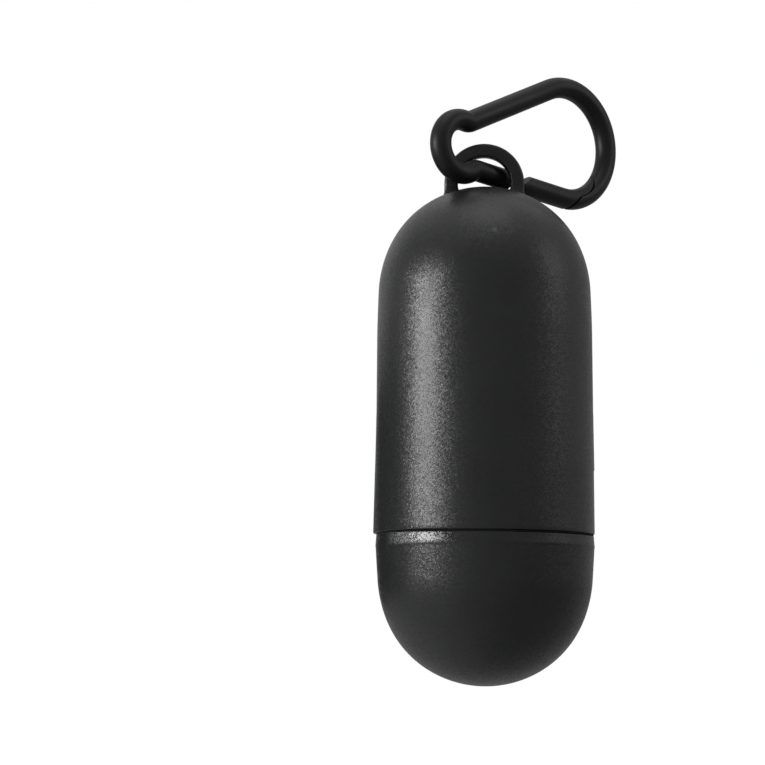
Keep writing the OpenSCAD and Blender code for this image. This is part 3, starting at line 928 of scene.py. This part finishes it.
outline = sheet_outline()
step = np.gradient(outline, axis=0)
step /= np.hypot(*step.T)[:, None]
out_of_sheet = np.stack([step[:, 1], -step[:, 0]], axis=1)
out_of_sheet[0], out_of_sheet[-1] = (0, -1), (0, -1)
lower_edge = outline - EDGE_R * out_of_sheet
print("outline of the sheet:", len(outline), "points")


# %% [markdown]
# The sheet's inside is filled with rows of points, closer together near the rim and the lip, where the
# shape turns quickly. A constrained triangulation joins them and keeps the outline as it is.

# %% Triangles of the flat sheet
ROWS_NEAR_RIM, ROWS_MIDDLE, ROWS_TOP = (29.0, 35.3, 0.35), (36.2, 56, 0.9), (57.5, 73.8, 2.1)
LIP_ROWS, LIP_ANGLES = (-0.55, -0.4, -0.25, -0.1, 0.08), (-38, 34, 1.25)
GRID_GAP, LIP_GAP, BAND_MIDDLE, BAND_HALF = 0.42, 0.3, 0.2, 0.62


def inside(points, polygon):
    x, y = points[:, 0], points[:, 1]
    hit = np.zeros(len(points), bool)
    for (ax, ay), (bx, by) in zip(polygon, np.roll(polygon, -1, axis=0)):
        crosses = (ay > y) != (by > y)
        with np.errstate(divide="ignore", invalid="ignore"):
            hit ^= crosses & (x < (bx - ax) * (y - ay) / (by - ay) + ax)
    return hit


def lip_height(s):
    return LIP_MID + SHEET_R * np.cos(s / SHEET_R) * math.tan(LIP_SLOPE)


def clear_of(points, others, gap):
    return np.array([np.min(np.hypot(*(others - p).T)) > gap for p in points])


def cut_sheet():
    heights = np.concatenate([np.arange(*rows) for rows in (ROWS_NEAR_RIM, ROWS_MIDDLE, ROWS_TOP)])
    width = TURN * SHEET_R / COLUMNS
    grid = []
    for row, z in enumerate(heights):
        shift = (row % 2) * 0.5
        grid += [(flat(-90) + (i + shift) * width, z) for i in range(COLUMNS + 1)]
    lip_angles = np.radians(np.arange(*LIP_ANGLES))
    lip = np.array([(a * SHEET_R, LIP_MID + SHEET_R * math.cos(a) * math.tan(LIP_SLOPE) + d)
                    for d in LIP_ROWS for a in lip_angles])
    sides = [z for z in heights if z > lower_edge[0, 1] + 0.4]
    columns = [flat(-90) + i * width for i in range(COLUMNS + 1)]
    border = [tuple(p) for p in lower_edge]
    border += [(columns[-1], z) for z in sides] + [(s, DOME_Z) for s in columns[::-1]]
    border += [(columns[0], z) for z in sides[::-1]]
    edge = np.array(border)
    spaced = along(np.vstack([edge, edge[:1]]), spacing=0.3)
    grid = np.array(grid)
    grid = grid[inside(grid, edge)]
    grid = grid[clear_of(grid, spaced, GRID_GAP)]
    lip = lip[inside(lip, edge)]
    lip = lip[clear_of(lip, spaced, LIP_GAP)]
    near = np.abs(grid[:, 1] - (lip_height(grid[:, 0]) - BAND_MIDDLE)) < BAND_HALF
    in_band = near & (grid[:, 0] > lip[:, 0].min() - LIP_GAP) & (grid[:, 0] < lip[:, 0].max() + LIP_GAP)
    grid = grid[~in_band]
    points = [Vector(p) for p in border] + [Vector(p) for p in grid] + [Vector(p) for p in lip]
    count = len(border)
    edges = [(i, (i + 1) % count) for i in range(count)]
    made, _, faces, source, _, _ = geometry.delaunay_2d_cdt(points, edges, [], 1, 1e-6)
    where = {old: new for new, olds in enumerate(source) for old in olds}
    flat_points = np.array([tuple(p) for p in made])
    return flat_points, [tuple(f) for f in faces], [where[i] for i in range(len(lower_edge))]


sheet, sheet_faces, edge_index = cut_sheet()
print("sheet:", len(sheet), "points,", len(sheet_faces), "triangles")


# %% [markdown]
# Rolling turns the sheet's first coordinate into an angle. The same triangles give the outside and, turned
# over, the bore. Eight rows along the outline bridge the two with a rounded edge, and rings close the
# domes.

# %% Roll the sheet into the shell
def rolled(points, radii):
    angle = points[:, 0] / SHEET_R
    return np.stack([radii * np.cos(angle), radii * np.sin(angle), points[:, 1]], axis=1)


def bridged(rows):
    """Faces between each row of points and the next."""
    return [(one[i], one[i + 1], two[i + 1], two[i])
            for one, two in zip(rows, rows[1:]) for i in range(len(one) - 1)]


def rolled_walls():
    """The outside, the bore and the rounded edge between them, as blocks of points and faces."""
    angle, z = sheet[:, 0] / SHEET_R, sheet[:, 1]
    out_r = outer_radius(angle, z)
    in_r = inner_radius(angle, z) + thread(angle, z, **GROOVE) * THREAD_DEPTH
    points = [rolled(sheet, out_r), rolled(sheet, in_r)]
    count = len(sheet)
    faces = sheet_faces + [tuple(i + count for i in f[::-1]) for f in sheet_faces]
    rows = [edge_index]
    base = sheet[edge_index]
    low_out, low_in = out_r[edge_index], in_r[edge_index]
    steps = np.radians([22.5, 45, 67.5, 90])
    turns = [(math.sin(a), low_out - EDGE_R * (1 - math.cos(a))) for a in steps]
    turns += [(math.sin(a), low_in + EDGE_R * (1 - math.cos(a))) for a in steps[::-1]]
    total = 2 * count
    for reach, radii in turns:
        moved = base + out_of_sheet * EDGE_R * reach
        points.append(rolled(moved, radii))
        rows.append(list(range(total, total + len(moved))))
        total += len(moved)
    rows.append([i + count for i in edge_index])
    return points, faces + bridged(rows), total


def with_domes(points, faces, total):
    """Adds the outer and the inner dome to the walls."""
    columns = flat(-90) / SHEET_R + np.arange(COLUMNS + 1) * TURN / COLUMNS
    for radius in (DOME_R, DOME_IN_R):
        rings = []
        for lat in np.radians(np.arange(0, 90, 2.5)):
            z = DOME_Z + radius * math.sin(lat)
            r = radius * math.cos(lat) - (shoulder(z, *DRAW_IN) if radius == DOME_R else 0)
            ring = np.stack([r * np.cos(columns), r * np.sin(columns), np.full(len(columns), z)], axis=1)
            points.append(ring)
            rings.append(range(total, total + len(columns)))
            total += len(columns)
        faces += bridged(rings)
        points.append(np.array([[0, 0, DOME_Z + radius]]))
        faces += [(rings[-1][i], rings[-1][i + 1], total) for i in range(COLUMNS)]
        total += 1
    return np.vstack(points), faces


shell_points, shell_faces = with_domes(*rolled_walls())
shell = outwards(piece_from("shell", shell_points, shell_faces), weld=0.002)
shell.data.transform(capsule_place)
finish_piece(shell, "shell", shell_plastic, "shell_plastic", "main_shell")

# %% [markdown]
# The loop is one flat band bent over in a half circle, moulded with the shell. A curve with a bevel could
# draw the band, but its feet flare into the dome, so the section's points are placed one by one along the
# path, and each is moved outwards where it comes near the dome.

# %% The hanging loop
LOOP_IN_R, LOOP_Z, BAND, DEPTH, BAND_EDGE = 5.05, 95.8, 2.6, 2.2, 0.5
LOOP_R = LOOP_IN_R + BAND / 2
FLARE, FLARE_HEIGHT = 0.3, 1.1


def hanging_loop():
    section = []
    for cx, cy, start in ((1, 1, 0), (-1, 1, 90), (-1, -1, 180), (1, -1, 270)):
        centre = (cx * (BAND / 2 - BAND_EDGE), cy * (DEPTH / 2 - BAND_EDGE))
        section += arc(centre, BAND_EDGE, start, start + 90, 4)
    legs = [92.5, 92.9, 93.3, 93.55, 93.8, 94.0, 94.2, 94.4, 94.6, 94.9, 95.3]
    path = [(LOOP_R, z, 0.0) for z in legs]
    path += [(LOOP_R * math.cos(a), LOOP_Z + LOOP_R * math.sin(a), a) for a in np.linspace(0, np.pi, 49)]
    path += [(-LOOP_R, z, math.pi) for z in legs[::-1]]
    points = []
    for x, z, turn in path:
        for across, depth in section:
            p = np.array([x + across * math.cos(turn), depth, z + across * math.sin(turn)])
            dome = DOME_Z + math.sqrt(max(DOME_R**2 - p[0] ** 2 - p[1] ** 2, 0))
            swell = FLARE * min(1.0, max(0.0, 1 - (p[2] - dome) / FLARE_HEIGHT)) ** 2
            side = np.array([across * abs(math.cos(turn)) / (BAND / 2), depth / (DEPTH / 2)])
            side /= max(np.hypot(*side), 1e-6)
            sign = 1 if math.cos(turn) > 0 else -1
            points.append((p[0] + swell * side[0] * sign, p[1] + swell * side[1], p[2]))
    n = len(section)
    faces = [[r * n + i, r * n + (i + 1) % n, (r + 1) * n + (i + 1) % n, (r + 1) * n + i]
             for r in range(len(path) - 1) for i in range(n)]
    faces += [list(range(n)), list(range((len(path) - 1) * n, len(path) * n))]
    return outwards(piece_from("hanging_loop", points, faces, capsule_place))


loop = hanging_loop()
finish_piece(loop, "shell", shell_plastic, "shell_plastic")

# %% [markdown]
# ## The cap
# The cap is turned on a lathe: a dome, a drafted wall, a fine step, a polished land that leans back a
# little, and a neck with a right-hand thread. A screw modifier could add the thread as a piece of its own,
# but it is moulded with the neck, so the neck's own rows are pushed out along the ridge. The land's lean
# catches the highlight. Over it a deep ledge, painted nearly black as the seam's shade, draws the seam, and
# the neck above is painted the same black. The seam sits a little askew, so the land and the ledge follow
# the shell's rim.

# %% Turn the cap
NECK_R, NECK_IN_R, NECK_TOP = 18.97, 17.57, 34.0
NECK_CORE_R = NECK_R - THREAD_DEPTH
LAND_R, LAND_LEAN = 20.63, math.radians(4)
STEP_DEPTH, STEP_LOW, STEP_WIDTH = 0.02, 25.7, 0.4
WALL_ROWS, STEP_ROWS, LAND_ROWS = ((21.2, 22.0, 22.8, 23.6, 24.4, 25.1, 25.6), (25.8, 25.95, 26.1),
                                   (26.3, 26.8, 27.3, 27.8, 28.25))
# The ledge over the land, at this radius and height, is painted nearly black as the seam's shade.
SHADE_R, SHADE_H = 20.44, 0.32


def dome_rows(radius, first, last, step):
    """Rows of a ball round the dome's middle, from one angle to another."""
    angles = np.radians(np.arange(first, last, step))
    return [(radius * math.cos(a), DOME_R + radius * math.sin(a)) for a in angles]


def cap_wall(z):
    grown = (SEAM_R - DOME_R) * (z - DOME_R) / (CAP_RIM - 0.35 - DOME_R)
    return DOME_R + grown - shoulder(-z, *CAP_DRAW_IN)


def cap_rows():
    rows = [(0.0, 0.0)] + dome_rows(DOME_R, -87.5, 0.1, 2.5)
    rows = [(r - shoulder(-z, *CAP_DRAW_IN) * (z > 0), z) for r, z in rows]
    rows += [(cap_wall(z), z) for z in WALL_ROWS]
    rows += [(cap_wall(z) + STEP_DEPTH * (z - STEP_LOW) / STEP_WIDTH, z) for z in STEP_ROWS]
    rows += [(LAND_R - math.tan(LAND_LEAN) * (z - LAND_ROWS[0]), z) for z in LAND_ROWS]
    rows += arc((LAND_R - 0.28, CAP_RIM - 0.15), 0.15, 8, 90, 4)
    rows += [(SHADE_R, CAP_RIM + 0.01), (SHADE_R, CAP_RIM + 0.16), (SHADE_R, CAP_RIM + SHADE_H)]
    rows += [(19.4, CAP_RIM + SHADE_H), (NECK_CORE_R + 0.1, CAP_RIM + SHADE_H)]
    rows += [(NECK_CORE_R, z) for z in np.arange(29.02, 33.45, 0.18)]
    rows += arc((NECK_CORE_R - 0.35, NECK_TOP - 0.35), 0.35, 0, 90, 4)
    rows += arc((NECK_IN_R + 0.25, NECK_TOP - 0.25), 0.25, 90, 180, 4)
    rows += [(NECK_IN_R, 30.0), (NECK_IN_R, 25.4), (DOME_IN_R, 24.17), (DOME_IN_R, DOME_R)]
    return rows + dome_rows(DOME_IN_R, -2.5, -88, -2.5) + [(0.0, DOME_R - DOME_IN_R)]


def cap_shape(angles, radii, heights):
    """Sets the cap's rim askew under the shell's rim, and pushes the thread out of the neck."""
    askew = 0.4 - 0.36 * np.sin(angles) + 0.2 * np.cos(angles)
    top = soft_step(heights, 24.0, CAP_RIM) * (radii > NECK_R + 0.1)
    under_shell = RIM - rim_height(angles * SHEET_R)
    heights = heights - np.where(heights > CAP_RIM + 0.1, under_shell, askew) * top
    on_neck = (heights > 28.9) & (heights < 33.5) & (radii > 18.4)
    ridge = THREAD_DEPTH * thread(angles, heights, **RIDGE)
    return radii + np.where(on_neck, ridge, 0.0), heights


cap = lathe("cap", cap_rows(), capsule_place, COLUMNS, cap_shape)
# This marks the cap above its rim, the ledge and the neck, for the nearly black painted shade of the seam.
in_seam = [r > 18.5 and z > CAP_RIM for r, z in cap_rows() for _ in range(COLUMNS if r > 0 else 1)]
cap.data.attributes.new("in_seam", "FLOAT", "POINT").data.foreach_set("value", [float(v) for v in in_seam])
finish_piece(cap, "cap", cap_plastic, "cap_plastic", "end_cap")

# %% [markdown]
# ## The snap hook
# The hook is one round bar bent along a closed path: a small end, two waist bends, two arms and a big end.
# Each bend touches the next line, so the path's corners follow from the radii and distances by
# trigonometry. A small rule sweeps the bar's section along any stretch of that path.

# %% The path of the hook's bar
WAIST = math.asin((WAIST_GAP / 2 + BAR_R + WAIST_R) / (SMALL_R + WAIST_R))
waist_c = np.array([math.cos(WAIST), math.sin(WAIST)]) * (SMALL_R + WAIST_R)
to_big = np.array([END_DIST, 0.0]) - waist_c
ARM = math.atan2(to_big[1], to_big[0]) + math.asin((BIG_R + WAIST_R) / math.hypot(*to_big))
arm_start = waist_c + WAIST_R * np.array([math.sin(ARM), -math.cos(ARM)])
arm_end = np.array([END_DIST - BIG_R * math.sin(ARM), BIG_R * math.cos(ARM)])
MIRROR = np.array([1.0, -1.0])
gate_start, gate_end = arm_start * MIRROR, arm_end * MIRROR
gate_way = np.array([math.cos(ARM), -math.sin(ARM)])
PIN_AT = 10.0
pin_point = gate_start + PIN_AT * gate_way
ARM_DEG, WAIST_DEG = math.degrees(ARM), math.degrees(WAIST)


def line_points(a, b, steps):
    return [tuple(a + (b - a) * t) for t in np.linspace(0, 1, steps + 1)]


def chained(*runs):
    points = [runs[0][0]]
    for run in runs:
        points += run[1:]
    return points


def path_mesh(name, points):
    mesh = bpy.data.meshes.new(name)
    mesh.from_pydata([(x, y, 0) for x, y in points], [(i, i + 1) for i in range(len(points) - 1)], [])
    made = bpy.data.objects.new(name, mesh)
    bpy.context.scene.collection.objects.link(made)
    return made


bar_rule, given, bar_out = rule_tree("bar_along_path", Bar_radius=1.0, Sides=24)
bar_line = add(bar_rule, "GeometryNodeMeshToCurve", Mesh=given["Geometry"])
swept(bar_rule, bar_line.outputs["Curve"], given["Bar radius"], given["Sides"], hook_paint, bar_out)


def bar(name, points):
    return by_rule(name, bar_rule, path_mesh(name, points), Matrix(), Bar_radius=BAR_R, Sides=40)


print("arms lean by", round(ARM_DEG, 1), "degrees, waist turns by", round(WAIST_DEG, 1))

# %% [markdown]
# At the nose the gate and the frame meet in an S-shaped lap, so that the closed hook can't be pulled
# straight. The S is a smooth curve through a few points on the big end. One flat prism behind that curve
# cuts the gap off the frame, and the same prism without the gap keeps the gate's side.

# %% The lap at the nose
# Each point has an angle round the big end in degrees, and a distance outwards in radii of the bar.
NOSE = [(-104, 1.12), (-99, 0.73), (-94, 0.24), (-88, -0.2), (-80, -0.31), (-70, -0.42), (-59, -0.76),
        (-48, -1.12)]
NOSE_GAP = 0.28


def on_big_end(angle, offset):
    a = math.radians(angle)
    return END_DIST + (BIG_R + offset) * math.cos(a), (BIG_R + offset) * math.sin(a)


def nose_curve(shift):
    """The lap line as a smooth curve through its points, moved outwards by shift."""
    marks = np.array([(a + math.degrees(shift / BIG_R), o * BAR_R + shift) for a, o in NOSE])
    line = []
    for i in range(len(marks) - 1):
        p0, p1, p2, p3 = marks[max(i - 1, 0)], marks[i], marks[i + 1], marks[min(i + 2, len(marks) - 1)]
        for t in np.linspace(0, 1, 7)[:-1]:
            line.append(0.5 * (2 * p1 + (p2 - p0) * t + (2 * p0 - 5 * p1 + 4 * p2 - p3) * t**2
                               + (3 * p1 - p0 - 3 * p2 + p3) * t**3))
    return [on_big_end(a, o) for a, o in line + [marks[-1]]]


def gate_side(shift):
    back, reach = -90 - 4 * ARM_DEG, 3 * BAR_R
    outline = nose_curve(shift) + [on_big_end(NOSE[-1][0], -reach), on_big_end(back, -reach)]
    outline += [on_big_end(back, reach), on_big_end(NOSE[0][0], reach)]
    return prism("gate_side", outline, -2 * BAR_R, 2 * BAR_R)


print("gap at the nose", NOSE_GAP, "mm")


# %% [markdown]
# The frame ends in a flat tongue, and the gate in a fork that takes it between its cheeks. The pin goes
# through all three. The cuts are exact, and a small bevel on the sharp edges then gives the coating
# something to shine on.

# %% Helpers at the pin
PIN_R, PIN_CLEARANCE, THROUGH = 0.6, 0.05, 3
BEVEL_STEPS, BEVEL_FROM, SHARP_FROM = 2, math.radians(35), math.radians(50)


def at_pin(points):
    across = np.array([-gate_way[1], gate_way[0]])
    return [tuple(pin_point + x * gate_way + y * across) for x, y in points]


def pin_drill(name, radius):
    """A round bar across the hook, which leaves the pin's hole where it is cut away."""
    return prism(name, at_pin(arc((0, 0), radius, 0, 345, 23)), -THROUGH, THROUGH)


def rounded(piece, width):
    """Small rounded edges where the cuts left sharp ones, and smooth faces between them."""
    change = piece.modifiers.new("edges", "BEVEL")
    change.width = width
    change.segments = BEVEL_STEPS
    change.limit_method = "ANGLE"
    change.angle_limit = BEVEL_FROM
    made = baked(piece, piece.name)
    made.data.polygons.foreach_set("use_smooth", [True] * len(made.data.polygons))
    made.data.set_sharp_from_angle(angle=SHARP_FROM)
    return made


# %% The frame of the hook, with its tongue
# The tongue's round end stands off the pin's middle, so that the gate's plunger is pushed back as it opens.
TONGUE_T, TONGUE_R, CAM_OFFSET, SHOULDER = 1.4, 1.3, 0.5, BAR_R + 0.3
frame_path = chained(
    line_points(pin_point - SHOULDER * gate_way, gate_start, 16),
    arc(waist_c * MIRROR, WAIST_R, 90 - ARM_DEG, 180 - WAIST_DEG, 14),
    arc((0, 0), SMALL_R, 360 - WAIST_DEG, WAIST_DEG, 64),
    arc(waist_c, WAIST_R, WAIST_DEG - 180, ARM_DEG - 90, 14),
    line_points(arm_start, arm_end, 20),
    arc((END_DIST, 0), BIG_R, 90 + ARM_DEG, NOSE[0][0] - 4, 72),
)
hook = carve(bar("hook_frame", frame_path), gate_side(NOSE_GAP))
tongue_end = arc((0, CAM_OFFSET), TONGUE_R, -90, 90, 20)
tongue_outline = at_pin([(-SHOULDER - 1.5, CAM_OFFSET - TONGUE_R)] + tongue_end
                        + [(-SHOULDER - 1.5, CAM_OFFSET + TONGUE_R)])
hook = carve(hook, prism("tongue", tongue_outline, -TONGUE_T / 2, TONGUE_T / 2), "UNION")
hook = carve(hook, pin_drill("pin_hole", PIN_R + PIN_CLEARANCE))
hook = rounded(outwards(hook, weld=0.001), width=0.12)
hook.data.transform(hook_place)
finish_piece(hook, "hook", hook_paint, "hook_paint", "carabiner_frame")

# %% [markdown]
# The gate is the rest of the bar's path. Its end is rounded in plan, slotted for the tongue and drilled
# twice: across for the pin, and along for the plunger and the spring.

# %% The gate, with its fork and bore
SPRING_BORE, PLUNGER_LEN, SPRING_LEN, TIP = 0.9, 2.0, 5.4, TONGUE_R + 0.05
gate_path = chained(
    line_points(pin_point - 2 * BAR_R * gate_way, gate_end, 20),
    arc((END_DIST, 0), BIG_R, -90 - ARM_DEG, NOSE[-1][0] + 4, 30),
)
gate = carve(bar("hook_gate", gate_path), gate_side(0.0), "INTERSECT")
plan = arc((0, 0), BAR_R, 90, 270, 24)
# Past the round end the plan is wider and longer than the gate, so nothing else is cut away.
plan += [(0.5, -BAR_R - 9), (60, -BAR_R - 9), (60, BAR_R + 18), (0.5, BAR_R + 18)]
gate = carve(gate, prism("gate_plan", at_pin(plan), -THROUGH, THROUGH), "INTERSECT")
slot_half, slot_end = TONGUE_T / 2 + 0.1, TONGUE_R + CAM_OFFSET + 0.3
slot = at_pin([(-3 * BAR_R, -2 * BAR_R), (slot_end, -2 * BAR_R),
               (slot_end, 2 * BAR_R), (-3 * BAR_R, 2 * BAR_R)])
gate = carve(gate, prism("gate_slot", slot, -slot_half, slot_half))
along_gate = Matrix.Rotation(-ARM, 4, "Z") @ Matrix.Rotation(math.pi / 2, 4, "Y")
gate_axes = Matrix.Translation((*pin_point, 0)) @ along_gate
plunger_end = TIP + PLUNGER_LEN
bore_end = plunger_end + SPRING_LEN
bore_rows = [(0, TIP), (SPRING_BORE, TIP), (SPRING_BORE, bore_end), (0, bore_end)]
gate = carve(gate, lathe("gate_bore", bore_rows, gate_axes, 32))
gate = carve(gate, pin_drill("gate_pin_hole", PIN_R))
gate = rounded(outwards(gate, weld=0.001), width=0.1)
gate.data.transform(hook_place)
finish_piece(gate, "gate", gate_paint, "gate_paint", "carabiner_gate")

# %% [markdown]
# The pin and the plunger are turned. The pin's ends are chamfered, and the plunger's nose is round where it
# slides on the tongue.

# %% The pin and the plunger
PIN_SUNK, CHAMFER, PIN_FACE_R, NOSE_ROUND, PLUNGER_CLEARANCE = 0.25, 0.1, 0.42, 0.45, 0.05

pin_place = hook_place @ Matrix.Translation((*pin_point, 0))
half_pin = BAR_R - PIN_SUNK
pin_rows = [(0, -half_pin), (PIN_FACE_R, -half_pin)]
pin_rows += arc((PIN_R - CHAMFER, CHAMFER - half_pin), CHAMFER, -90, 0, 3)
pin_rows += arc((PIN_R - CHAMFER, half_pin - CHAMFER), CHAMFER, 0, 90, 3)
pin_rows += [(PIN_FACE_R, half_pin), (0, half_pin)]
pin = lathe("gate_pin", pin_rows, pin_place, 32)
finish_piece(pin, "gate", pin_steel, "pin_steel", "gate_pin")

gate_place = hook_place @ gate_axes
plunger_r = SPRING_BORE - PLUNGER_CLEARANCE
plunger_rows = [(0, TIP), (plunger_r - NOSE_ROUND, TIP)]
plunger_rows += arc((plunger_r - NOSE_ROUND, TIP + NOSE_ROUND), NOSE_ROUND, -80, 0, 6)
plunger_rows += [(plunger_r, plunger_end - CHAMFER), (plunger_r - CHAMFER, plunger_end), (0, plunger_end)]
plunger = lathe("gate_plunger", plunger_rows, gate_place, 32)
finish_piece(plunger, "plunger", plunger_steel, "plunger_steel", "gate_plunger")

# %% [markdown]
# The spring is a coil of wire, so a rule draws it: a spiral with a round section. It stands in the gate's
# bore between the plunger and the bore's end. As the gate opens, the plunger comes 0.2 mm towards it.

# %% The spring
WIRE_R, SPRING_TURNS, SPRING_FIT = 0.12, 7, 0.06
coil_rule, given, coil_out = rule_tree("coil", Turns=1.0, Length=1.0, Coil_radius=1.0, Wire_radius=1.0)
spiral = add(coil_rule, "GeometryNodeCurveSpiral", Resolution=40, Rotations=given["Turns"],
             Height=given["Length"], Start_Radius=given["Coil radius"], End_Radius=given["Coil radius"])
swept(coil_rule, spiral.outputs["Curve"], given["Wire radius"], 10, spring_steel, coil_out)
spring_place = gate_place @ Matrix.Translation((0, 0, plunger_end + WIRE_R + SPRING_FIT))
spring = by_rule("gate_spring", coil_rule, path_mesh("coil_start", [(0, 0), (1, 0)]), spring_place,
                 Turns=float(SPRING_TURNS), Length=SPRING_LEN - 2 * WIRE_R - 2 * SPRING_FIT,
                 Coil_radius=SPRING_BORE - WIRE_R - SPRING_FIT, Wire_radius=WIRE_R)
finish_piece(spring, "gate", spring_steel, "spring_steel", "gate_spring")
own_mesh(spring)

# %% [markdown]
# ## The roll of bags
# The bags are wound tight on a board core, which stands in the cap. The core is a turned tube whose cut
# ends are softened a little.

# %% The core
ROLL_R, ROLL_LEN, CORE_R, CORE_WALL, ROLL_EDGE, TAIL_STEP = 13.15, 60.0, 6.0, 1.0, 0.7, 0.3
roll_place = Matrix.Translation((AXIS[0], AXIS[1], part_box("roll_core")[0].z)) @ Matrix.Scale(MM, 4)
SOFT_W, SOFT_H = 0.06, 0.2
core_in = CORE_R - CORE_WALL
core_rows = [(core_in, z) for z in np.linspace(ROLL_LEN - SOFT_H, SOFT_H, 12)]
core_rows += [(core_in + SOFT_W, 0.0), (CORE_R - SOFT_W, 0.0)]
core_rows += [(CORE_R, z) for z in np.linspace(SOFT_H, ROLL_LEN - SOFT_H, 12)]
core_rows += [(CORE_R - SOFT_W, ROLL_LEN), (core_in + SOFT_W, ROLL_LEN)]
core = lathe("roll_core", core_rows, roll_place, 72, closed=True)
finish_piece(core, "core", core_board, "core_board", "roll_core")

# %% [markdown]
# The outer bag carries soft wrinkles, deeper folds near its ends and the straight edge where it stops. All
# of them go inwards, so the roll keeps its size. They are drawn by seeded chance on a turned ring, which is
# quicker than a cloth simulation and right for a film that is wound tight.

# %% Wrinkles of the outer bag
FOLD_DEPTH, FOLD_REACH, LEAN_OVER, DEEPEST = 0.14, 7.0, 26, 0.62
dice = np.random.default_rng(7)
waves = [(dice.uniform(0, TURN), int(dice.integers(2, 9)), dice.uniform(0.15, 0.9), dice.uniform(0.02, 0.06))
         for _ in range(12)]


def chance_folds(count, low, high):
    """Folds with a place round the roll, a lean, a width, and a middle between two heights."""
    ranges = ((0, TURN), (-0.9, 0.9), (0.02, 0.05), (low, high))
    return [tuple(dice.uniform(*limits) for limits in ranges) for _ in range(count)]


folds = chance_folds(26, 38, 60) + chance_folds(14, -4, 18)
print(len(waves), "waves and", len(folds), "folds")


def film_shape(angles, radii, heights):
    """Wrinkles of the outer bag, always inwards, and the step where it ends."""
    face = soft_step(radii, ROLL_R - 1.2, ROLL_R - 0.4)
    dent = np.zeros_like(radii)
    for phase, count, rise, depth in waves:
        dent += depth * 0.5 * (1 + np.sin(count * angles + phase + rise * heights))
    for place, lean, width, middle in folds:
        away = (angles - place - lean * (heights - middle) / LEAN_OVER + np.pi) % TURN - np.pi
        reach = np.exp(-((heights - middle) / FOLD_REACH) ** 2)
        dent += FOLD_DEPTH * reach * np.exp(-((away / (width * 1.6)) ** 2))
    tail = (angles - np.pi) % TURN
    dent += TAIL_STEP * 0.6 * soft_step(-tail, -0.02, 0.0) + TAIL_STEP * 0.25 * (1 - tail / TURN)
    return radii - face * np.minimum(dent * 0.9, DEEPEST), heights


def roll_rows():
    flat_r = ROLL_R - ROLL_EDGE
    rows = [(CORE_R + 0.06, z) for z in (ROLL_LEN - 0.25, 30.0, 0.25)]
    rows += [(CORE_R + 0.2, 0.12), (flat_r - 0.3, 0.12)]
    rows += arc((flat_r, 0.1 + ROLL_EDGE), ROLL_EDGE, -90, 0, 6)
    rows += [(ROLL_R, z) for z in np.arange(1.4, ROLL_LEN - 1.2, 0.55)]
    rows += arc((flat_r, ROLL_LEN - 0.1 - ROLL_EDGE), ROLL_EDGE, 0, 90, 6)
    return rows + [(flat_r - 0.3, ROLL_LEN - 0.12), (CORE_R + 0.2, ROLL_LEN - 0.12)]


roll = lathe("bag_roll", roll_rows(), roll_place, 240, film_shape, closed=True)
finish_piece(roll, "roll", bag_film, "bag_film", "bag_roll")

# %% [markdown]
# The roll's ends show the winding as a fine spiral. A rule draws it as a flat spiral of thin film on each
# end.

# %% The wound layers
layers_rule, given, layers_out = rule_tree("wound_layers", Turns=1.0, Inner=1.0, Outer=1.0, Film=1.0)
wound = add(layers_rule, "GeometryNodeCurveSpiral", Resolution=72, Rotations=given["Turns"], Height=0.0,
            Start_Radius=given["Inner"], End_Radius=given["Outer"])
swept(layers_rule, wound.outputs["Curve"], given["Film"], 4, bag_film, layers_out)
for end, height in (("top", ROLL_LEN - 0.13), ("bottom", 0.13)):
    layers = by_rule("layers_" + end, layers_rule, path_mesh("layers_start", [(0, 0), (1, 0)]),
                     roll_place @ Matrix.Translation((0, 0, height)),
                     Turns=22.0, Inner=CORE_R + 0.25, Outer=ROLL_R - ROLL_EDGE - 0.35, Film=0.09)
    finish_piece(layers, "roll", bag_film, "bag_film")

# %% [markdown]
# ## The boxes
# The shown object's box is printed beside the imported model's.

# %% Print the boxes
visual_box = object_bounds()
for name, corners in (("cad", cad_box), ("visual", visual_box)):
    print(name, [[round(v / MM, 2) for v in c] for c in corners])
